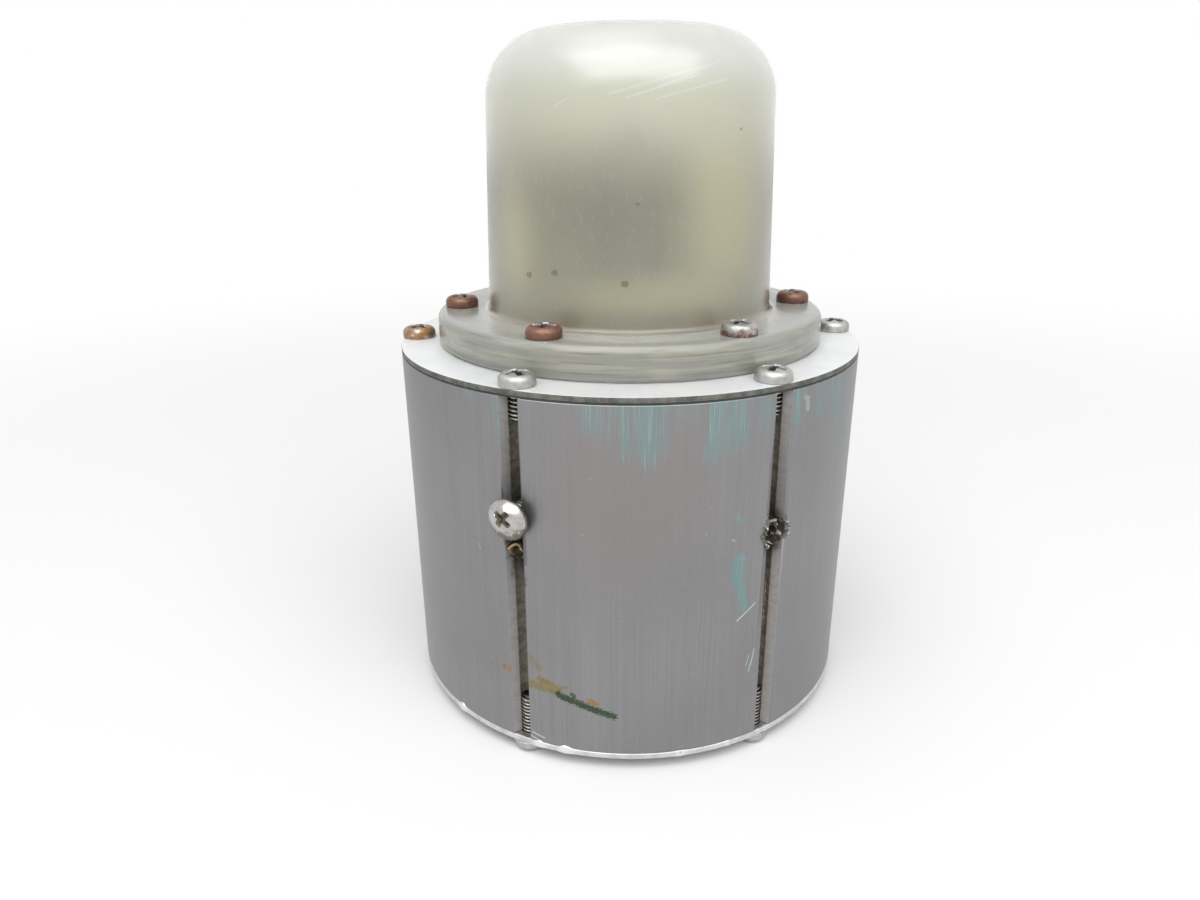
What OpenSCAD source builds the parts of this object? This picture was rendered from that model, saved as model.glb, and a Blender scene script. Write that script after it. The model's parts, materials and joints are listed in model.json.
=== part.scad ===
// Self-contained strobe beacon: extruded case, end plates, clear dome, plug-in flash tube and power supply.
// Z is up. The origin is on the beacon's axis, in the plane of the base screws' heads.
// Angles run from +X towards +Y, and the front is -Y.

/* [Case] */
// Outside diameter of the tube and of both plates
case_d = 95.25; // [86:0.25:110]
// Length of the extruded tube
tube_l = 69.85; // [66:0.05:90]
// Wall thickness of the tube
tube_wall = 2.5; // [1.5:0.1:3]
// Thickness of the base plate
base_t = 1.3; // [1:0.1:2.5]
// Thickness of the top plate
top_t = 1.0; // [0.8:0.1:2]
// Thickness of the gasket under the top plate
cover_gasket_t = 0.4; // [0.2:0.1:1]
// Width of the gasket's ring
cover_gasket_w = 2.2; // [1.2:0.1:2.4]

/* [Screw channels] */
// Number of screw channels round the tube
channel_n = 6; // [4, 6, 8]
// Depth of a channel's axis below the tube's surface
channel_depth = 3.2; // [3:0.1:4]
// Width of a channel's mouth at the surface
mouth_w = 3.9; // [3:0.1:4.5]
// Width of the slit between the mouth and the channel
throat_w = 2.2; // [1.4:0.1:2.6]
// Depth of the slit below the surface
throat_depth = 1.9; // [1:0.1:2]
// Metal left behind and beside a channel
boss_wall = 2.0; // [1.2:0.1:2.6]

/* [Small screws] */
// Shank diameter of the plate, base and dome screws
screw_d = 3.5; // [3:0.1:4]
// Head diameter
head_d = 6.7; // [6:0.1:7.5]
// Head height
head_h = 2.4; // [1.8:0.1:3]
// Rounding of a head's rim
head_edge = 1.3; // [0.6:0.1:1.5]
// Shank length of the plate screws
plate_screw_l = 6.35; // [5:0.05:10]
// Shank length of the base screws
base_screw_l = 9.5; // [7:0.1:12]
// Shank length of the dome screws
dome_screw_l = 10.2; // [9:0.1:12]

/* [Side screws] */
// Shank diameter of the side screw
side_screw_d = 4.1; // [3.6:0.1:4.6]
// Shank length of the side screw
side_screw_l = 9.5; // [8:0.1:10]
// Head diameter of the side screw
side_head_d = 7.6; // [7:0.1:8.6]
// Head height of the side screw
side_head_h = 2.7; // [2:0.1:3.2]
// How far the side screw's head stands off the tube
side_proud = 1.3; // [0.5:0.1:2]
// Height of the side screw above the tube's lower end
side_screw_z = 47.6; // [30:0.1:54]
// Height of the empty side hole above the tube's lower end
side_hole_z = 43.2; // [30:0.1:54]
// Diameter of the empty hole where it was drilled out through the channel's mouth
drill_d = 5.2; // [4.8:0.1:6]
// Height of the sheared screw above the tube's lower end
stub_z = 40.3; // [20:0.1:41]
// Diameter of the sheared screw
stub_d = 3.4; // [2.6:0.1:3.6]
// How deep the sheared end lies below the tube's surface
stub_sink = 0.6; // [0:0.1:1.5]

/* [Dome] */
// Width of the top plate's rim outside the flange
rim_land = 7.8; // [7.2:0.1:9]
// Distance of the dome screws' circle from the flange's edge
flange_margin = 4.8; // [4.5:0.1:5.5]
// Distance of the dome screws' circle from the dome's side
dome_land = 5.75; // [5:0.05:6.5]
// Height of the dome above its flange
dome_h = 52.4; // [50:0.1:70]
// Outside radius of the dome's shoulder
dome_corner = 12.4; // [8:0.1:16]
// Draft of the dome's side in degrees
dome_draft = 1.7; // [0:0.1:3]
// Wall thickness of the dome
dome_wall = 2.6; // [1.8:0.1:3.2]
// Thickness of the flange
flange_t = 5.95; // [4:0.05:7]
// Rounding of the flange's upper edge
flange_edge = 1.5; // [0.5:0.1:2.5]
// Fillet between the dome and the flange
root_fillet = 1.0; // [0.4:0.1:1.6]
// Thickness of the dome's gasket
dome_gasket_t = 0.4; // [0.2:0.1:1]
// Width of the dome gasket inside and outside the screw circle
dome_gasket_w = 4.2; // [3:0.1:4.4]

/* [Lamp] */
// Gap between the insulator and the dome's inside
insulator_gap = 1.1; // [0.5:0.1:3]
// Thickness of the insulator
insulator_t = 1.6; // [0.8:0.1:2]
// Diameter of the socket's foot
socket_foot_d = 43; // [41:0.1:46]
// Thickness of the socket's foot
socket_foot_t = 3; // [2:0.1:4]
// Diameter of the socket's barrel
socket_d = 26; // [25:0.1:27]
// Height of the socket's barrel above the insulator
socket_h = 7; // [6:0.1:9]
// Diameter of the socket's neck in the top plate
neck_d = 20; // [18:0.1:21]
// Length of the neck below the top plate
neck_l = 5; // [4:0.1:7]
// Pitch circle of the two socket screws
socket_pcd = 35; // [34:0.1:36]
// Diameter of the socket screws
socket_screw_d = 2.8; // [2.4:0.1:3.2]
// Diameter of the flash tube's base
tube_base_d = 24.4; // [22:0.1:25]
// Height of the flash tube's base
tube_base_h = 6.6; // [5:0.1:8]
// Outside diameter of the glass
glass_d = 5.6; // [4.4:0.1:6]
// Wall thickness of the glass
glass_wall = 0.8; // [0.6:0.1:1]
// Distance between the two legs of the glass
leg_gap = 10.8; // [9:0.1:12]
// Height of the glass above its base
glass_h = 28; // [22:0.1:28]
// Length of the electrodes' rods in the glass
electrode_l = 12; // [8:0.1:16]
// Diameter of the trigger wire
trigger_d = 0.8; // [0.5:0.1:1]
// Diameter of the three pins
pin_d = 2; // [1.5:0.1:2.2]
// Length of the pins
pin_l = 8; // [6:0.1:8]
// Pitch circle of the pins
pin_pcd = 13; // [12:0.1:14]

/* [Power supply] */
// Length of the standoffs that hold the board under the top plate
standoff_l = 14; // [12:0.1:18]
// Diameter of the standoffs
standoff_d = 6; // [5:0.1:6.5]
// Diameter of the board's screws
board_screw_d = 2.8; // [2.4:0.1:3.2]
// Distance of the standoffs' circle from the board's edge
standoff_margin = 4; // [3.5:0.1:5]
// Gap between the board and the screw channels
board_gap = 1.1; // [0.5:0.1:2]
// Thickness of the board
board_t = 1.6; // [1:0.1:2.4]
// Diameter of the storage capacitor
cap_d = 25; // [20:0.1:26]
// Length of the storage capacitor
cap_l = 40; // [30:0.1:40]
// Width of the capacitor's clamp
clamp_w = 10; // [6:0.1:14]
// Thickness of the clamp's band
clamp_t = 1; // [0.6:0.1:1.4]
// Length of the transformer's core
core_l = 26; // [24:0.1:28]
// Height of the transformer's core
core_h = 24; // [22:0.1:32]
// Depth of the transformer's core
core_w = 12; // [10:0.1:13]
// Width of each limb of the core
limb_w = 5; // [4:0.1:5.5]
// Thickness of the winding on its bobbin
winding_t = 2.8; // [2:0.1:3]
// Thickness of the bobbin
bobbin_t = 1; // [0.6:0.1:1.2]
// Thickness of the strap over the transformer
strap_t = 0.8; // [0.5:0.1:1]
// Length of the heat sink
sink_l = 22; // [16:0.1:23]
// Height of the heat sink
sink_h = 22; // [20:0.1:30]
// Thickness of the heat sink
sink_t = 2; // [1.5:0.1:2.5]
// Width of the heat sink's foot
sink_foot_w = 7; // [5:0.1:8]

/* [Small components] */
// Length of the trigger capacitor
film_l = 17; // [12:0.1:18]
// Width of the trigger capacitor
film_w = 7; // [5:0.1:7.5]
// Height of the trigger capacitor
film_h = 13; // [8:0.1:16]
// Diameter of the trigger coil
coil_d = 10; // [8:0.1:10.5]
// Height of the trigger coil
coil_h = 15; // [10:0.1:20]
// Diameter of a diode
diode_d = 2.7; // [2:0.1:3]
// Length of a diode
diode_l = 5.2; // [4:0.1:6]
// Distance between a diode's leads
diode_span = 9; // [8:0.1:10]
// Diameter of a resistor
resistor_d = 3.2; // [2:0.1:3.4]
// Length of a resistor
resistor_l = 9; // [6:0.1:10]
// Distance between a resistor's leads
resistor_span = 14; // [12:0.1:14.5]
// Diameter of the diodes' and resistors' leads
lead_d = 0.8; // [0.6:0.1:1]
// Side of the terminal block
block_l = 9; // [7:0.1:9.5]
// Width of the terminal block
block_w = 8; // [6:0.1:8.5]

/* [Cable inlet] */
// Diameter of the grommet's bore
cable_d = 6.4; // [4:0.1:8]
// Diameter of the hole in the base plate
grommet_hole_d = 12; // [11:0.1:14]
// Diameter of the grommet's lips
grommet_d = 17; // [16:0.1:19]
// Thickness of each lip
grommet_lip = 1.6; // [1:0.1:2]

/* [Hidden] */
$fn = 64;
// Radial clearance of a shank in its thread, a pin in its contact and a collar in its hole
fit = 0.05;
// Radial clearance of a screw in a plain hole
slack = 0.2;
// Overlap that lets cuts run clean through a face
cut = 0.5;
case_r = case_d / 2;
channel_r = case_r - channel_depth;
channel_bore_r = screw_d / 2 + fit;
boss_in = channel_r - channel_bore_r - boss_wall;
boss_w = 2 * (channel_bore_r + boss_wall);
screw_hole_r = screw_d / 2 + slack;
// Channels that hold the side screw and the empty hole, counted from +X
screw_channel_n = 4;
hole_channel_n = 5;
channel_step = 360 / channel_n;
side_hole_r = side_screw_d / 2 + fit;
z_base = head_h;
z_tube = z_base + base_t;
z_tube_top = z_tube + tube_l;
z_under = z_tube_top + cover_gasket_t;
z_plate = z_under + top_t;
z_flange = z_plate + dome_gasket_t;
z_flange_top = z_flange + flange_t;
flange_r = case_r - rim_land;
dome_pcr = flange_r - flange_margin;
dome_r = dome_pcr - dome_land;
insulator_r = dome_r - dome_wall - insulator_gap;
// Thickness that the dome's root fillet keeps at its two ends
fillet_lip = 0.02;
// Clinch nuts for the dome screws
nut_collar_r = screw_d / 2 + 0.9;
nut_r = nut_collar_r + 1.1;
nut_h = 2.4;
nut_bore_r = screw_d / 2 + fit;
// Lamp heights
z_insulator = z_plate + insulator_t;
z_socket_top = z_insulator + socket_h;
z_tube_base = z_socket_top + 0.1;
z_tube_base_top = z_tube_base + tube_base_h;
glass_r = glass_d / 2;
arch_r = leg_gap / 2;
leg_sink = 3;
z_leg = z_tube_base_top - leg_sink;
z_arch = z_tube_base_top + glass_h - arch_r - glass_r;
// The trigger wire stands behind the glass and reaches its arch
trigger_y = glass_r + trigger_d / 2 + 0.1;
socket_nut_h = 2.4;
socket_nut_r = socket_screw_d * 1.05;
contact_r = pin_d / 2 + fit + 0.6;
contact_below = 3;
pin_angles = [90, 210, 330];
// Board heights and the places of what hangs under it, with y reversed
z_board_top = z_under - standoff_l;
z_board = z_board_top - board_t;
standoff_angles = [for (i = [0 : 3]) channel_step * (floor(i * channel_n / 4) + 0.5)];
standoff_collar_r = standoff_d / 2 - 0.8;
board_head_d = board_screw_d * 1.9;
board_head_h = board_screw_d * 0.65;
board_r = boss_in - board_gap;
standoff_r = board_r - standoff_margin;
cap_edge = 2.5;
core_edge = 22;
core_y = 8;
sink_edge = 17.5;
sink_x = 11;
coil_edge = 14.5;
coil_x = 17;
film_edge = 13.5;
film_x = 13.5;
block_edge = 8.5;
block_y = 5;
diode_edge = 15.5;
diode_x = 10;
diode_pitch = 4.2;
resistor_x = 15.5;
resistor_y = 19.9;
resistor_shift = 2.8;
resistor_pitch = 3.9;
cap_at = [-(board_r - cap_d / 2 - clamp_t - fit - cap_edge), 0];
core_at = [board_r - core_edge, core_y];
sink_at = [sink_x, -(board_r - sink_edge)];
coil_at = [-coil_x, -(board_r - coil_edge)];
film_at = [-film_x, board_r - film_edge];
block_at = [board_r - block_edge, -block_y];
diode_at = [-diode_x, -(board_r - diode_edge)];
resistor_at = [resistor_x, resistor_y];
// Wound former of the transformer
window_w = (core_l - 3 * limb_w) / 2;
window_h = core_h - 2 * limb_w;
former_gap = 0.1;
transistor = [10, 15, 4.4];
// Height of the transistor's screw above the board, and its tab's thickness
transistor_hole_z = transistor[1] + 2;
tab_t = 1.3;

// Places children on a circle, n times
module round_circle(n, r) {
  for (i = [0 : n - 1])
    rotate(i * 360 / n)
      translate([r, 0, 0])
        children();
}

// Places children at each angle of a list
module at_angles(angles, r) {
  for (a = angles)
    rotate(a)
      translate([r, 0, 0])
        children();
}

// Puts children under the board, with local +Z pointing down
module under_board(at) {
  translate([0, 0, z_board])
    rotate([180, 0, 0])
      translate([at[0], at[1], 0])
        children();
}

// Turns children so that their +Z points out of a channel, at a height above the tube's lower end
module out_of_channel(index, z) {
  rotate(index * channel_step)
    translate([case_r, 0, z_tube + z])
      rotate([0, 90, 0])
        children();
}

// Disc with a rounded upper edge
module rounded_disc(r, h, edge) {
  cylinder(h = h - edge, r = r);
  cylinder(h = h, r = r - edge);
  translate([0, 0, h - edge])
    rotate_extrude()
      intersection() {
        translate([r - edge, 0])
          circle(r = edge);
        square([r, edge]);
      }
}

// Flat ring
module ring(r_out, r_in, h) {
  difference() {
    cylinder(h = h, r = r_out);
    translate([0, 0, -cut])
      cylinder(h = h + 2 * cut, r = r_in);
  }
}

// Pan-head screw with a cross recess, its head above z = 0 and its shank below
module pan_screw(shank_d, shank_l, d, h, edge) {
  recess_l = 0.5 * d;
  recess_w = 0.14 * d;
  recess_depth = 0.55 * h;
  difference() {
    rounded_disc(d / 2, h, edge);
    for (turn = [0, 90])
      rotate(turn + 45)
        translate([-recess_l / 2, -recess_w / 2, h - recess_depth])
          cube([recess_l, recess_w, h]);
  }
  translate([0, 0, -shank_l])
    cylinder(h = shank_l, d = shank_d);
}

// Cross-section of the extruded tube
module tube_section() {
  difference() {
    union() {
      difference() {
        circle(r = case_r);
        circle(r = case_r - tube_wall);
      }
      round_circle(channel_n, boss_in)
        translate([0, -boss_w / 2])
          square([case_r - tube_wall / 2 - boss_in, boss_w]);
    }
    round_circle(channel_n, channel_r)
      circle(r = channel_bore_r);
    round_circle(channel_n, case_r)
      polygon([
        [-channel_depth, -throat_w / 2],
        [-throat_depth, -throat_w / 2],
        [0, -mouth_w / 2],
        [cut, -mouth_w / 2],
        [cut, mouth_w / 2],
        [0, mouth_w / 2],
        [-throat_depth, throat_w / 2],
        [-channel_depth, throat_w / 2]
      ]);
  }
}

// Hole drilled into a channel from outside
module side_hole(index, z, r, depth) {
  out_of_channel(index, z)
    translate([0, 0, -depth])
      cylinder(h = depth + cut, r = r);
}

module body_tube() {
  to_floor = case_r - boss_in - boss_wall;
  through = case_r - boss_in + cut;
  color("#a9abb0")
    difference() {
      translate([0, 0, z_tube])
        linear_extrude(tube_l)
          tube_section();
      side_hole(screw_channel_n, side_screw_z, side_hole_r, through);
      side_hole(screw_channel_n, stub_z, stub_d / 2 + fit, through);
      side_hole(hole_channel_n, side_hole_z, side_hole_r, through);
      side_hole(hole_channel_n, side_hole_z, drill_d / 2, to_floor);
    }
}

module base_plate() {
  color("#d4d6d8")
    translate([0, 0, z_base])
      difference() {
        cylinder(h = base_t, r = case_r);
        round_circle(channel_n, channel_r)
          translate([0, 0, -cut])
            cylinder(h = base_t + 2 * cut, r = screw_hole_r);
        translate([0, 0, -cut])
          cylinder(h = base_t + 2 * cut, d = grommet_hole_d);
      }
}

module base_screws() {
  color("#b4b0a8")
    round_circle(channel_n, channel_r)
      translate([0, 0, z_base])
        rotate([180, 0, 0])
          pan_screw(screw_d, base_screw_l, head_d, head_h, head_edge);
}

module cable_grommet() {
  color("#26262a")
    translate([0, 0, z_base])
      difference() {
        union() {
          translate([0, 0, -grommet_lip])
            cylinder(h = grommet_lip, d = grommet_d);
          cylinder(h = base_t, r = grommet_hole_d / 2 - fit);
          translate([0, 0, base_t])
            cylinder(h = grommet_lip, d = grommet_d);
        }
        translate([0, 0, -grommet_lip - cut])
          cylinder(h = base_t + 2 * grommet_lip + 2 * cut, d = cable_d);
      }
}

module screw_stub() {
  color("#7d5f38")
    out_of_channel(screw_channel_n, stub_z)
      translate([0, 0, boss_in - case_r])
        cylinder(h = case_r - boss_in - stub_sink, d = stub_d);
}

module side_screw() {
  color("#c9c7c2")
    out_of_channel(screw_channel_n, side_screw_z)
      translate([0, 0, side_proud])
        pan_screw(side_screw_d, side_screw_l, side_head_d, side_head_h, head_edge);
}

module top_plate() {
  color("#e2e3e5")
    translate([0, 0, z_under])
      difference() {
        cylinder(h = top_t, r = case_r);
        round_circle(channel_n, channel_r)
          translate([0, 0, -cut])
            cylinder(h = top_t + 2 * cut, r = screw_hole_r);
        round_circle(channel_n, dome_pcr)
          translate([0, 0, -cut])
            cylinder(h = top_t + 2 * cut, r = nut_collar_r + fit);
        at_angles(standoff_angles, standoff_r)
          translate([0, 0, -cut])
            cylinder(h = top_t + 2 * cut, r = standoff_collar_r + fit);
        round_circle(2, socket_pcd / 2)
          translate([0, 0, -cut])
            cylinder(h = top_t + 2 * cut, r = socket_screw_d / 2 + slack);
        translate([0, 0, -cut])
          cylinder(h = top_t + 2 * cut, r = neck_d / 2 + slack);
      }
}

module cover_gasket() {
  color("#2b2a28")
    translate([0, 0, z_tube_top])
      difference() {
        ring(case_r - fit, case_r - cover_gasket_w, cover_gasket_t);
        round_circle(channel_n, channel_r)
          translate([0, 0, -cut])
            cylinder(h = cover_gasket_t + 2 * cut, r = screw_hole_r);
      }
}

module plate_screws() {
  color("#b9b9b6")
    round_circle(channel_n, channel_r)
      translate([0, 0, z_plate])
        pan_screw(screw_d, plate_screw_l, head_d, head_h, head_edge);
}

module clinch_nuts() {
  color("#8f8f8c")
    round_circle(channel_n, dome_pcr)
      translate([0, 0, z_under])
        difference() {
          union() {
            translate([0, 0, -nut_h])
              cylinder(h = nut_h, r = nut_r);
            cylinder(h = top_t, r = nut_collar_r);
          }
          translate([0, 0, -nut_h - cut])
            cylinder(h = nut_h + top_t + 2 * cut, r = nut_bore_r);
        }
}

// Solid form of the dome, with a drafted side and a rounded shoulder
module dome_form(r, h, corner) {
  r_shoulder = r - (h - corner) * tan(dome_draft);
  rotate_extrude() {
    polygon([[0, 0], [r, 0], [r_shoulder, h - corner], [r_shoulder - corner, h], [0, h]]);
    translate([r_shoulder - corner, h - corner])
      intersection() {
        circle(r = corner);
        square(corner);
      }
  }
}

module dome_lens() {
  color("#d6d6bc", 0.7)
    difference() {
      union() {
        translate([0, 0, z_flange])
          rounded_disc(flange_r, flange_t, flange_edge);
        translate([0, 0, z_flange_top])
          dome_form(dome_r, dome_h, dome_corner);
        translate([0, 0, z_flange_top])
          rotate_extrude()
            difference() {
              translate([dome_r - root_fillet, 0])
                square([2 * root_fillet, root_fillet]);
              translate([dome_r + root_fillet, root_fillet])
                circle(r = root_fillet - fillet_lip);
            }
      }
      translate([0, 0, z_flange_top])
        dome_form(dome_r - dome_wall, dome_h - dome_wall, dome_corner - dome_wall);
      translate([0, 0, z_flange - cut])
        cylinder(h = flange_t + 2 * cut, r = dome_r - dome_wall);
      round_circle(channel_n, dome_pcr)
        translate([0, 0, z_flange - cut])
          cylinder(h = flange_t + 2 * cut, r = screw_hole_r);
    }
}

module dome_gasket() {
  color("#3a352c")
    translate([0, 0, z_plate])
      difference() {
        ring(dome_pcr + dome_gasket_w, dome_pcr - dome_gasket_w, dome_gasket_t);
        round_circle(channel_n, dome_pcr)
          translate([0, 0, -cut])
            cylinder(h = dome_gasket_t + 2 * cut, r = screw_hole_r);
      }
}

module dome_screws() {
  color("#8a6048")
    round_circle(channel_n, dome_pcr)
      translate([0, 0, z_flange_top])
        pan_screw(screw_d, dome_screw_l, head_d, head_h, head_edge);
}

module insulator_disc() {
  color("#8a5a2c")
    translate([0, 0, z_plate])
      difference() {
        cylinder(h = insulator_t, r = insulator_r);
        round_circle(2, socket_pcd / 2)
          translate([0, 0, -cut])
            cylinder(h = insulator_t + 2 * cut, r = socket_screw_d / 2 + slack);
        translate([0, 0, -cut])
          cylinder(h = insulator_t + 2 * cut, r = neck_d / 2 + slack);
      }
}

module lamp_socket() {
  color("#6e4424")
    difference() {
      union() {
        translate([0, 0, z_insulator])
          cylinder(h = socket_foot_t, d = socket_foot_d);
        translate([0, 0, z_insulator])
          cylinder(h = socket_h, d = socket_d);
        translate([0, 0, z_under - neck_l])
          cylinder(h = z_insulator - z_under + neck_l, d = neck_d);
      }
      round_circle(2, socket_pcd / 2)
        translate([0, 0, z_insulator - cut])
          cylinder(h = socket_foot_t + 2 * cut, r = socket_screw_d / 2 + slack);
      at_angles(pin_angles, pin_pcd / 2)
        translate([0, 0, z_under - neck_l - cut])
          cylinder(h = z_socket_top - z_under + neck_l + 2 * cut, r = contact_r + fit);
    }
}

module socket_contacts() {
  color("#b08d4a")
    at_angles(pin_angles, pin_pcd / 2)
      translate([0, 0, z_under - neck_l - contact_below])
        difference() {
          cylinder(h = z_socket_top - z_under + neck_l + contact_below, r = contact_r);
          translate([0, 0, contact_below])
            cylinder(h = z_socket_top - z_under + neck_l + cut, r = pin_d / 2 + fit);
        }
}

module socket_screws() {
  color("#a8a8a4")
    round_circle(2, socket_pcd / 2)
      translate([0, 0, z_insulator + socket_foot_t])
        pan_screw(socket_screw_d, socket_foot_t + insulator_t + top_t + socket_nut_h,
          board_head_d, board_head_h, board_head_h / 2);
}

module socket_nuts() {
  color("#9c9c98")
    round_circle(2, socket_pcd / 2)
      translate([0, 0, z_under - socket_nut_h])
        difference() {
          cylinder(h = socket_nut_h, r = socket_nut_r, $fn = 6);
          translate([0, 0, -cut])
            cylinder(h = socket_nut_h + 2 * cut, r = socket_screw_d / 2 + fit);
        }
}

module tube_base() {
  color("#e3ddcc")
    translate([0, 0, z_tube_base])
      difference() {
        rounded_disc(tube_base_d / 2, tube_base_h, 0.6);
        for (side = [-1, 1])
          translate([side * arch_r, 0, tube_base_h - leg_sink])
            cylinder(h = leg_sink + cut, r = glass_r + fit);
        translate([0, trigger_y, tube_base_h - leg_sink])
          cylinder(h = leg_sink + cut, r = trigger_d / 2 + fit);
      }
}

module tube_pins() {
  color("#bfae86")
    at_angles(pin_angles, pin_pcd / 2)
      translate([0, 0, z_tube_base - pin_l])
        cylinder(h = pin_l, d = pin_d);
}

// U of round rod: two legs and an arch
module u_rod(r, z_foot) {
  for (side = [-1, 1])
    translate([side * arch_r, 0, z_foot])
      cylinder(h = z_arch - z_foot, r = r);
  translate([0, 0, z_arch])
    rotate([90, 0, 0])
      rotate_extrude(angle = 180)
        translate([arch_r, 0])
          circle(r = r);
}

module flash_tube() {
  color("#e8eef0", 0.6)
    difference() {
      u_rod(glass_r, z_leg);
      u_rod(glass_r - glass_wall, z_leg - cut);
    }
}

module tube_electrodes() {
  color("#77757a")
    for (side = [-1, 1])
      translate([side * arch_r, 0, z_leg]) {
        cylinder(h = leg_sink, r = glass_r - glass_wall - fit);
        cylinder(h = leg_sink + electrode_l, r = (glass_r - glass_wall) / 2);
      }
}

module trigger_wire() {
  band_w = 2 * trigger_d;
  inside = arch_r - glass_r;
  band_gap = inside - sqrt(inside * inside - band_w * band_w / 4) + 0.15;
  color("#b7b2a4") {
    translate([0, trigger_y, z_tube_base_top - leg_sink])
      cylinder(h = z_arch + arch_r - z_tube_base_top + leg_sink, d = trigger_d);
    translate([-band_w / 2, 0, z_arch + arch_r])
      rotate([0, 90, 0])
        ring(glass_r + band_gap + trigger_d, glass_r + band_gap, band_w);
  }
}

module board_standoffs() {
  color("#b9a05c")
    at_angles(standoff_angles, standoff_r)
      difference() {
        union() {
          translate([0, 0, z_board_top])
            cylinder(h = standoff_l, d = standoff_d);
          translate([0, 0, z_under])
            cylinder(h = top_t, r = standoff_collar_r);
        }
        translate([0, 0, z_board_top - cut])
          cylinder(h = standoff_l / 2 + cut, r = board_screw_d / 2 + fit);
      }
}

module board_screws() {
  color("#b0b0ac")
    at_angles(standoff_angles, standoff_r)
      translate([0, 0, z_board])
        rotate([180, 0, 0])
          pan_screw(board_screw_d, board_t + standoff_l / 3, board_head_d, board_head_h, board_head_h / 2);
}

module circuit_board() {
  color("#8c6a34")
    translate([0, 0, z_board])
      difference() {
        cylinder(h = board_t, r = board_r);
        at_angles(standoff_angles, standoff_r)
          translate([0, 0, -cut])
            cylinder(h = board_t + 2 * cut, r = board_screw_d / 2 + slack);
      }
}

module lamp_leads() {
  lead_wall = 0.8;
  contact_tail = z_under - neck_l - contact_below;
  color("#b3342a")
    at_angles(pin_angles, pin_pcd / 2)
      translate([0, 0, z_board_top])
        difference() {
          cylinder(h = contact_tail - z_board_top + contact_below / 2, r = contact_r + fit + lead_wall);
          translate([0, 0, contact_tail - z_board_top])
            cylinder(h = contact_below, r = contact_r + fit);
        }
}

module storage_capacitor() {
  rim = 1.2;
  color("#2d4a86")
    under_board(cap_at)
      difference() {
        rounded_disc(cap_d / 2, cap_l, rim);
        translate([0, 0, cap_l - rim / 2])
          cylinder(h = rim, r = cap_d / 2 - 2 * rim);
      }
}

module capacitor_clamp() {
  lug = [6, 2.4, 1.6];
  band_r = cap_d / 2 + fit + clamp_t;
  color("#b8bcc0")
    under_board(cap_at)
      difference() {
        union() {
          cylinder(h = clamp_w, r = band_r);
          for (side = [-1, 1])
            translate([-lug[0] / 2, side > 0 ? band_r - clamp_t : -band_r + clamp_t - lug[1], 0])
              cube(lug);
        }
        translate([0, 0, -cut])
          cylinder(h = clamp_w + 2 * cut, r = cap_d / 2 + fit);
      }
}

// Core with two windows, standing on its long side
module transformer_core() {
  color("#3f3d3c")
    under_board(core_at)
      difference() {
        translate([-core_l / 2, -core_w / 2, strap_t])
          cube([core_l, core_w, core_h]);
        for (side = [-1, 1])
          translate([side * (limb_w + window_w) / 2 - window_w / 2, -core_w, strap_t + limb_w])
            cube([window_w, 2 * core_w, window_h]);
      }
}

// Square sleeve round the core's middle limb
module limb_sleeve(inside, thick, h) {
  outer = [limb_w + 2 * (inside + thick), core_w + 2 * (inside + thick), h];
  inner = [limb_w + 2 * inside, core_w + 2 * inside, h + 2 * cut];
  difference() {
    translate([-outer[0] / 2, -outer[1] / 2, 0])
      cube(outer);
    translate([-inner[0] / 2, -inner[1] / 2, -cut])
      cube(inner);
  }
}

module transformer_bobbin() {
  color("#d8d2c0")
    under_board(core_at)
      translate([0, 0, strap_t + limb_w + former_gap]) {
        tall = window_h - 2 * former_gap;
        rim = min(winding_t, window_w - bobbin_t - 2 * former_gap);
        limb_sleeve(former_gap, bobbin_t, tall);
        limb_sleeve(former_gap, bobbin_t + rim, bobbin_t);
        translate([0, 0, tall - bobbin_t])
          limb_sleeve(former_gap, bobbin_t + rim, bobbin_t);
      }
}

module transformer_winding() {
  color("#c9a63c")
    under_board(core_at)
      translate([0, 0, strap_t + limb_w + former_gap + bobbin_t])
        limb_sleeve(former_gap + bobbin_t, min(winding_t, window_w - bobbin_t - 2 * former_gap) - former_gap,
          window_h - 2 * former_gap - 2 * bobbin_t);
}

// Strap with two feet, folded over the core
module transformer_strap() {
  foot = 4;
  wide = core_w - 2;
  color("#c4c6c8")
    under_board(core_at)
      translate([0, -wide / 2, 0]) {
        difference() {
          translate([-core_l / 2 - strap_t, 0, 0])
            cube([core_l + 2 * strap_t, wide, core_h + 2 * strap_t]);
          translate([-core_l / 2, -cut, strap_t])
            cube([core_l, wide + 2 * cut, core_h]);
        }
        for (side = [-1, 1])
          translate([side > 0 ? core_l / 2 : -core_l / 2 - foot, 0, 0])
            cube([foot, wide, strap_t]);
      }
}

module heat_sink() {
  color("#5d6064")
    under_board(sink_at)
      difference() {
        union() {
          translate([-sink_l / 2, 0, 0])
            cube([sink_l, sink_foot_w, sink_t]);
          translate([-sink_l / 2, 0, 0])
            cube([sink_l, sink_t, sink_h]);
        }
        translate([0, -cut, transistor_hole_z])
          rotate([-90, 0, 0])
            cylinder(h = sink_t + 2 * cut, r = board_screw_d / 2 + slack);
      }
}

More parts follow.
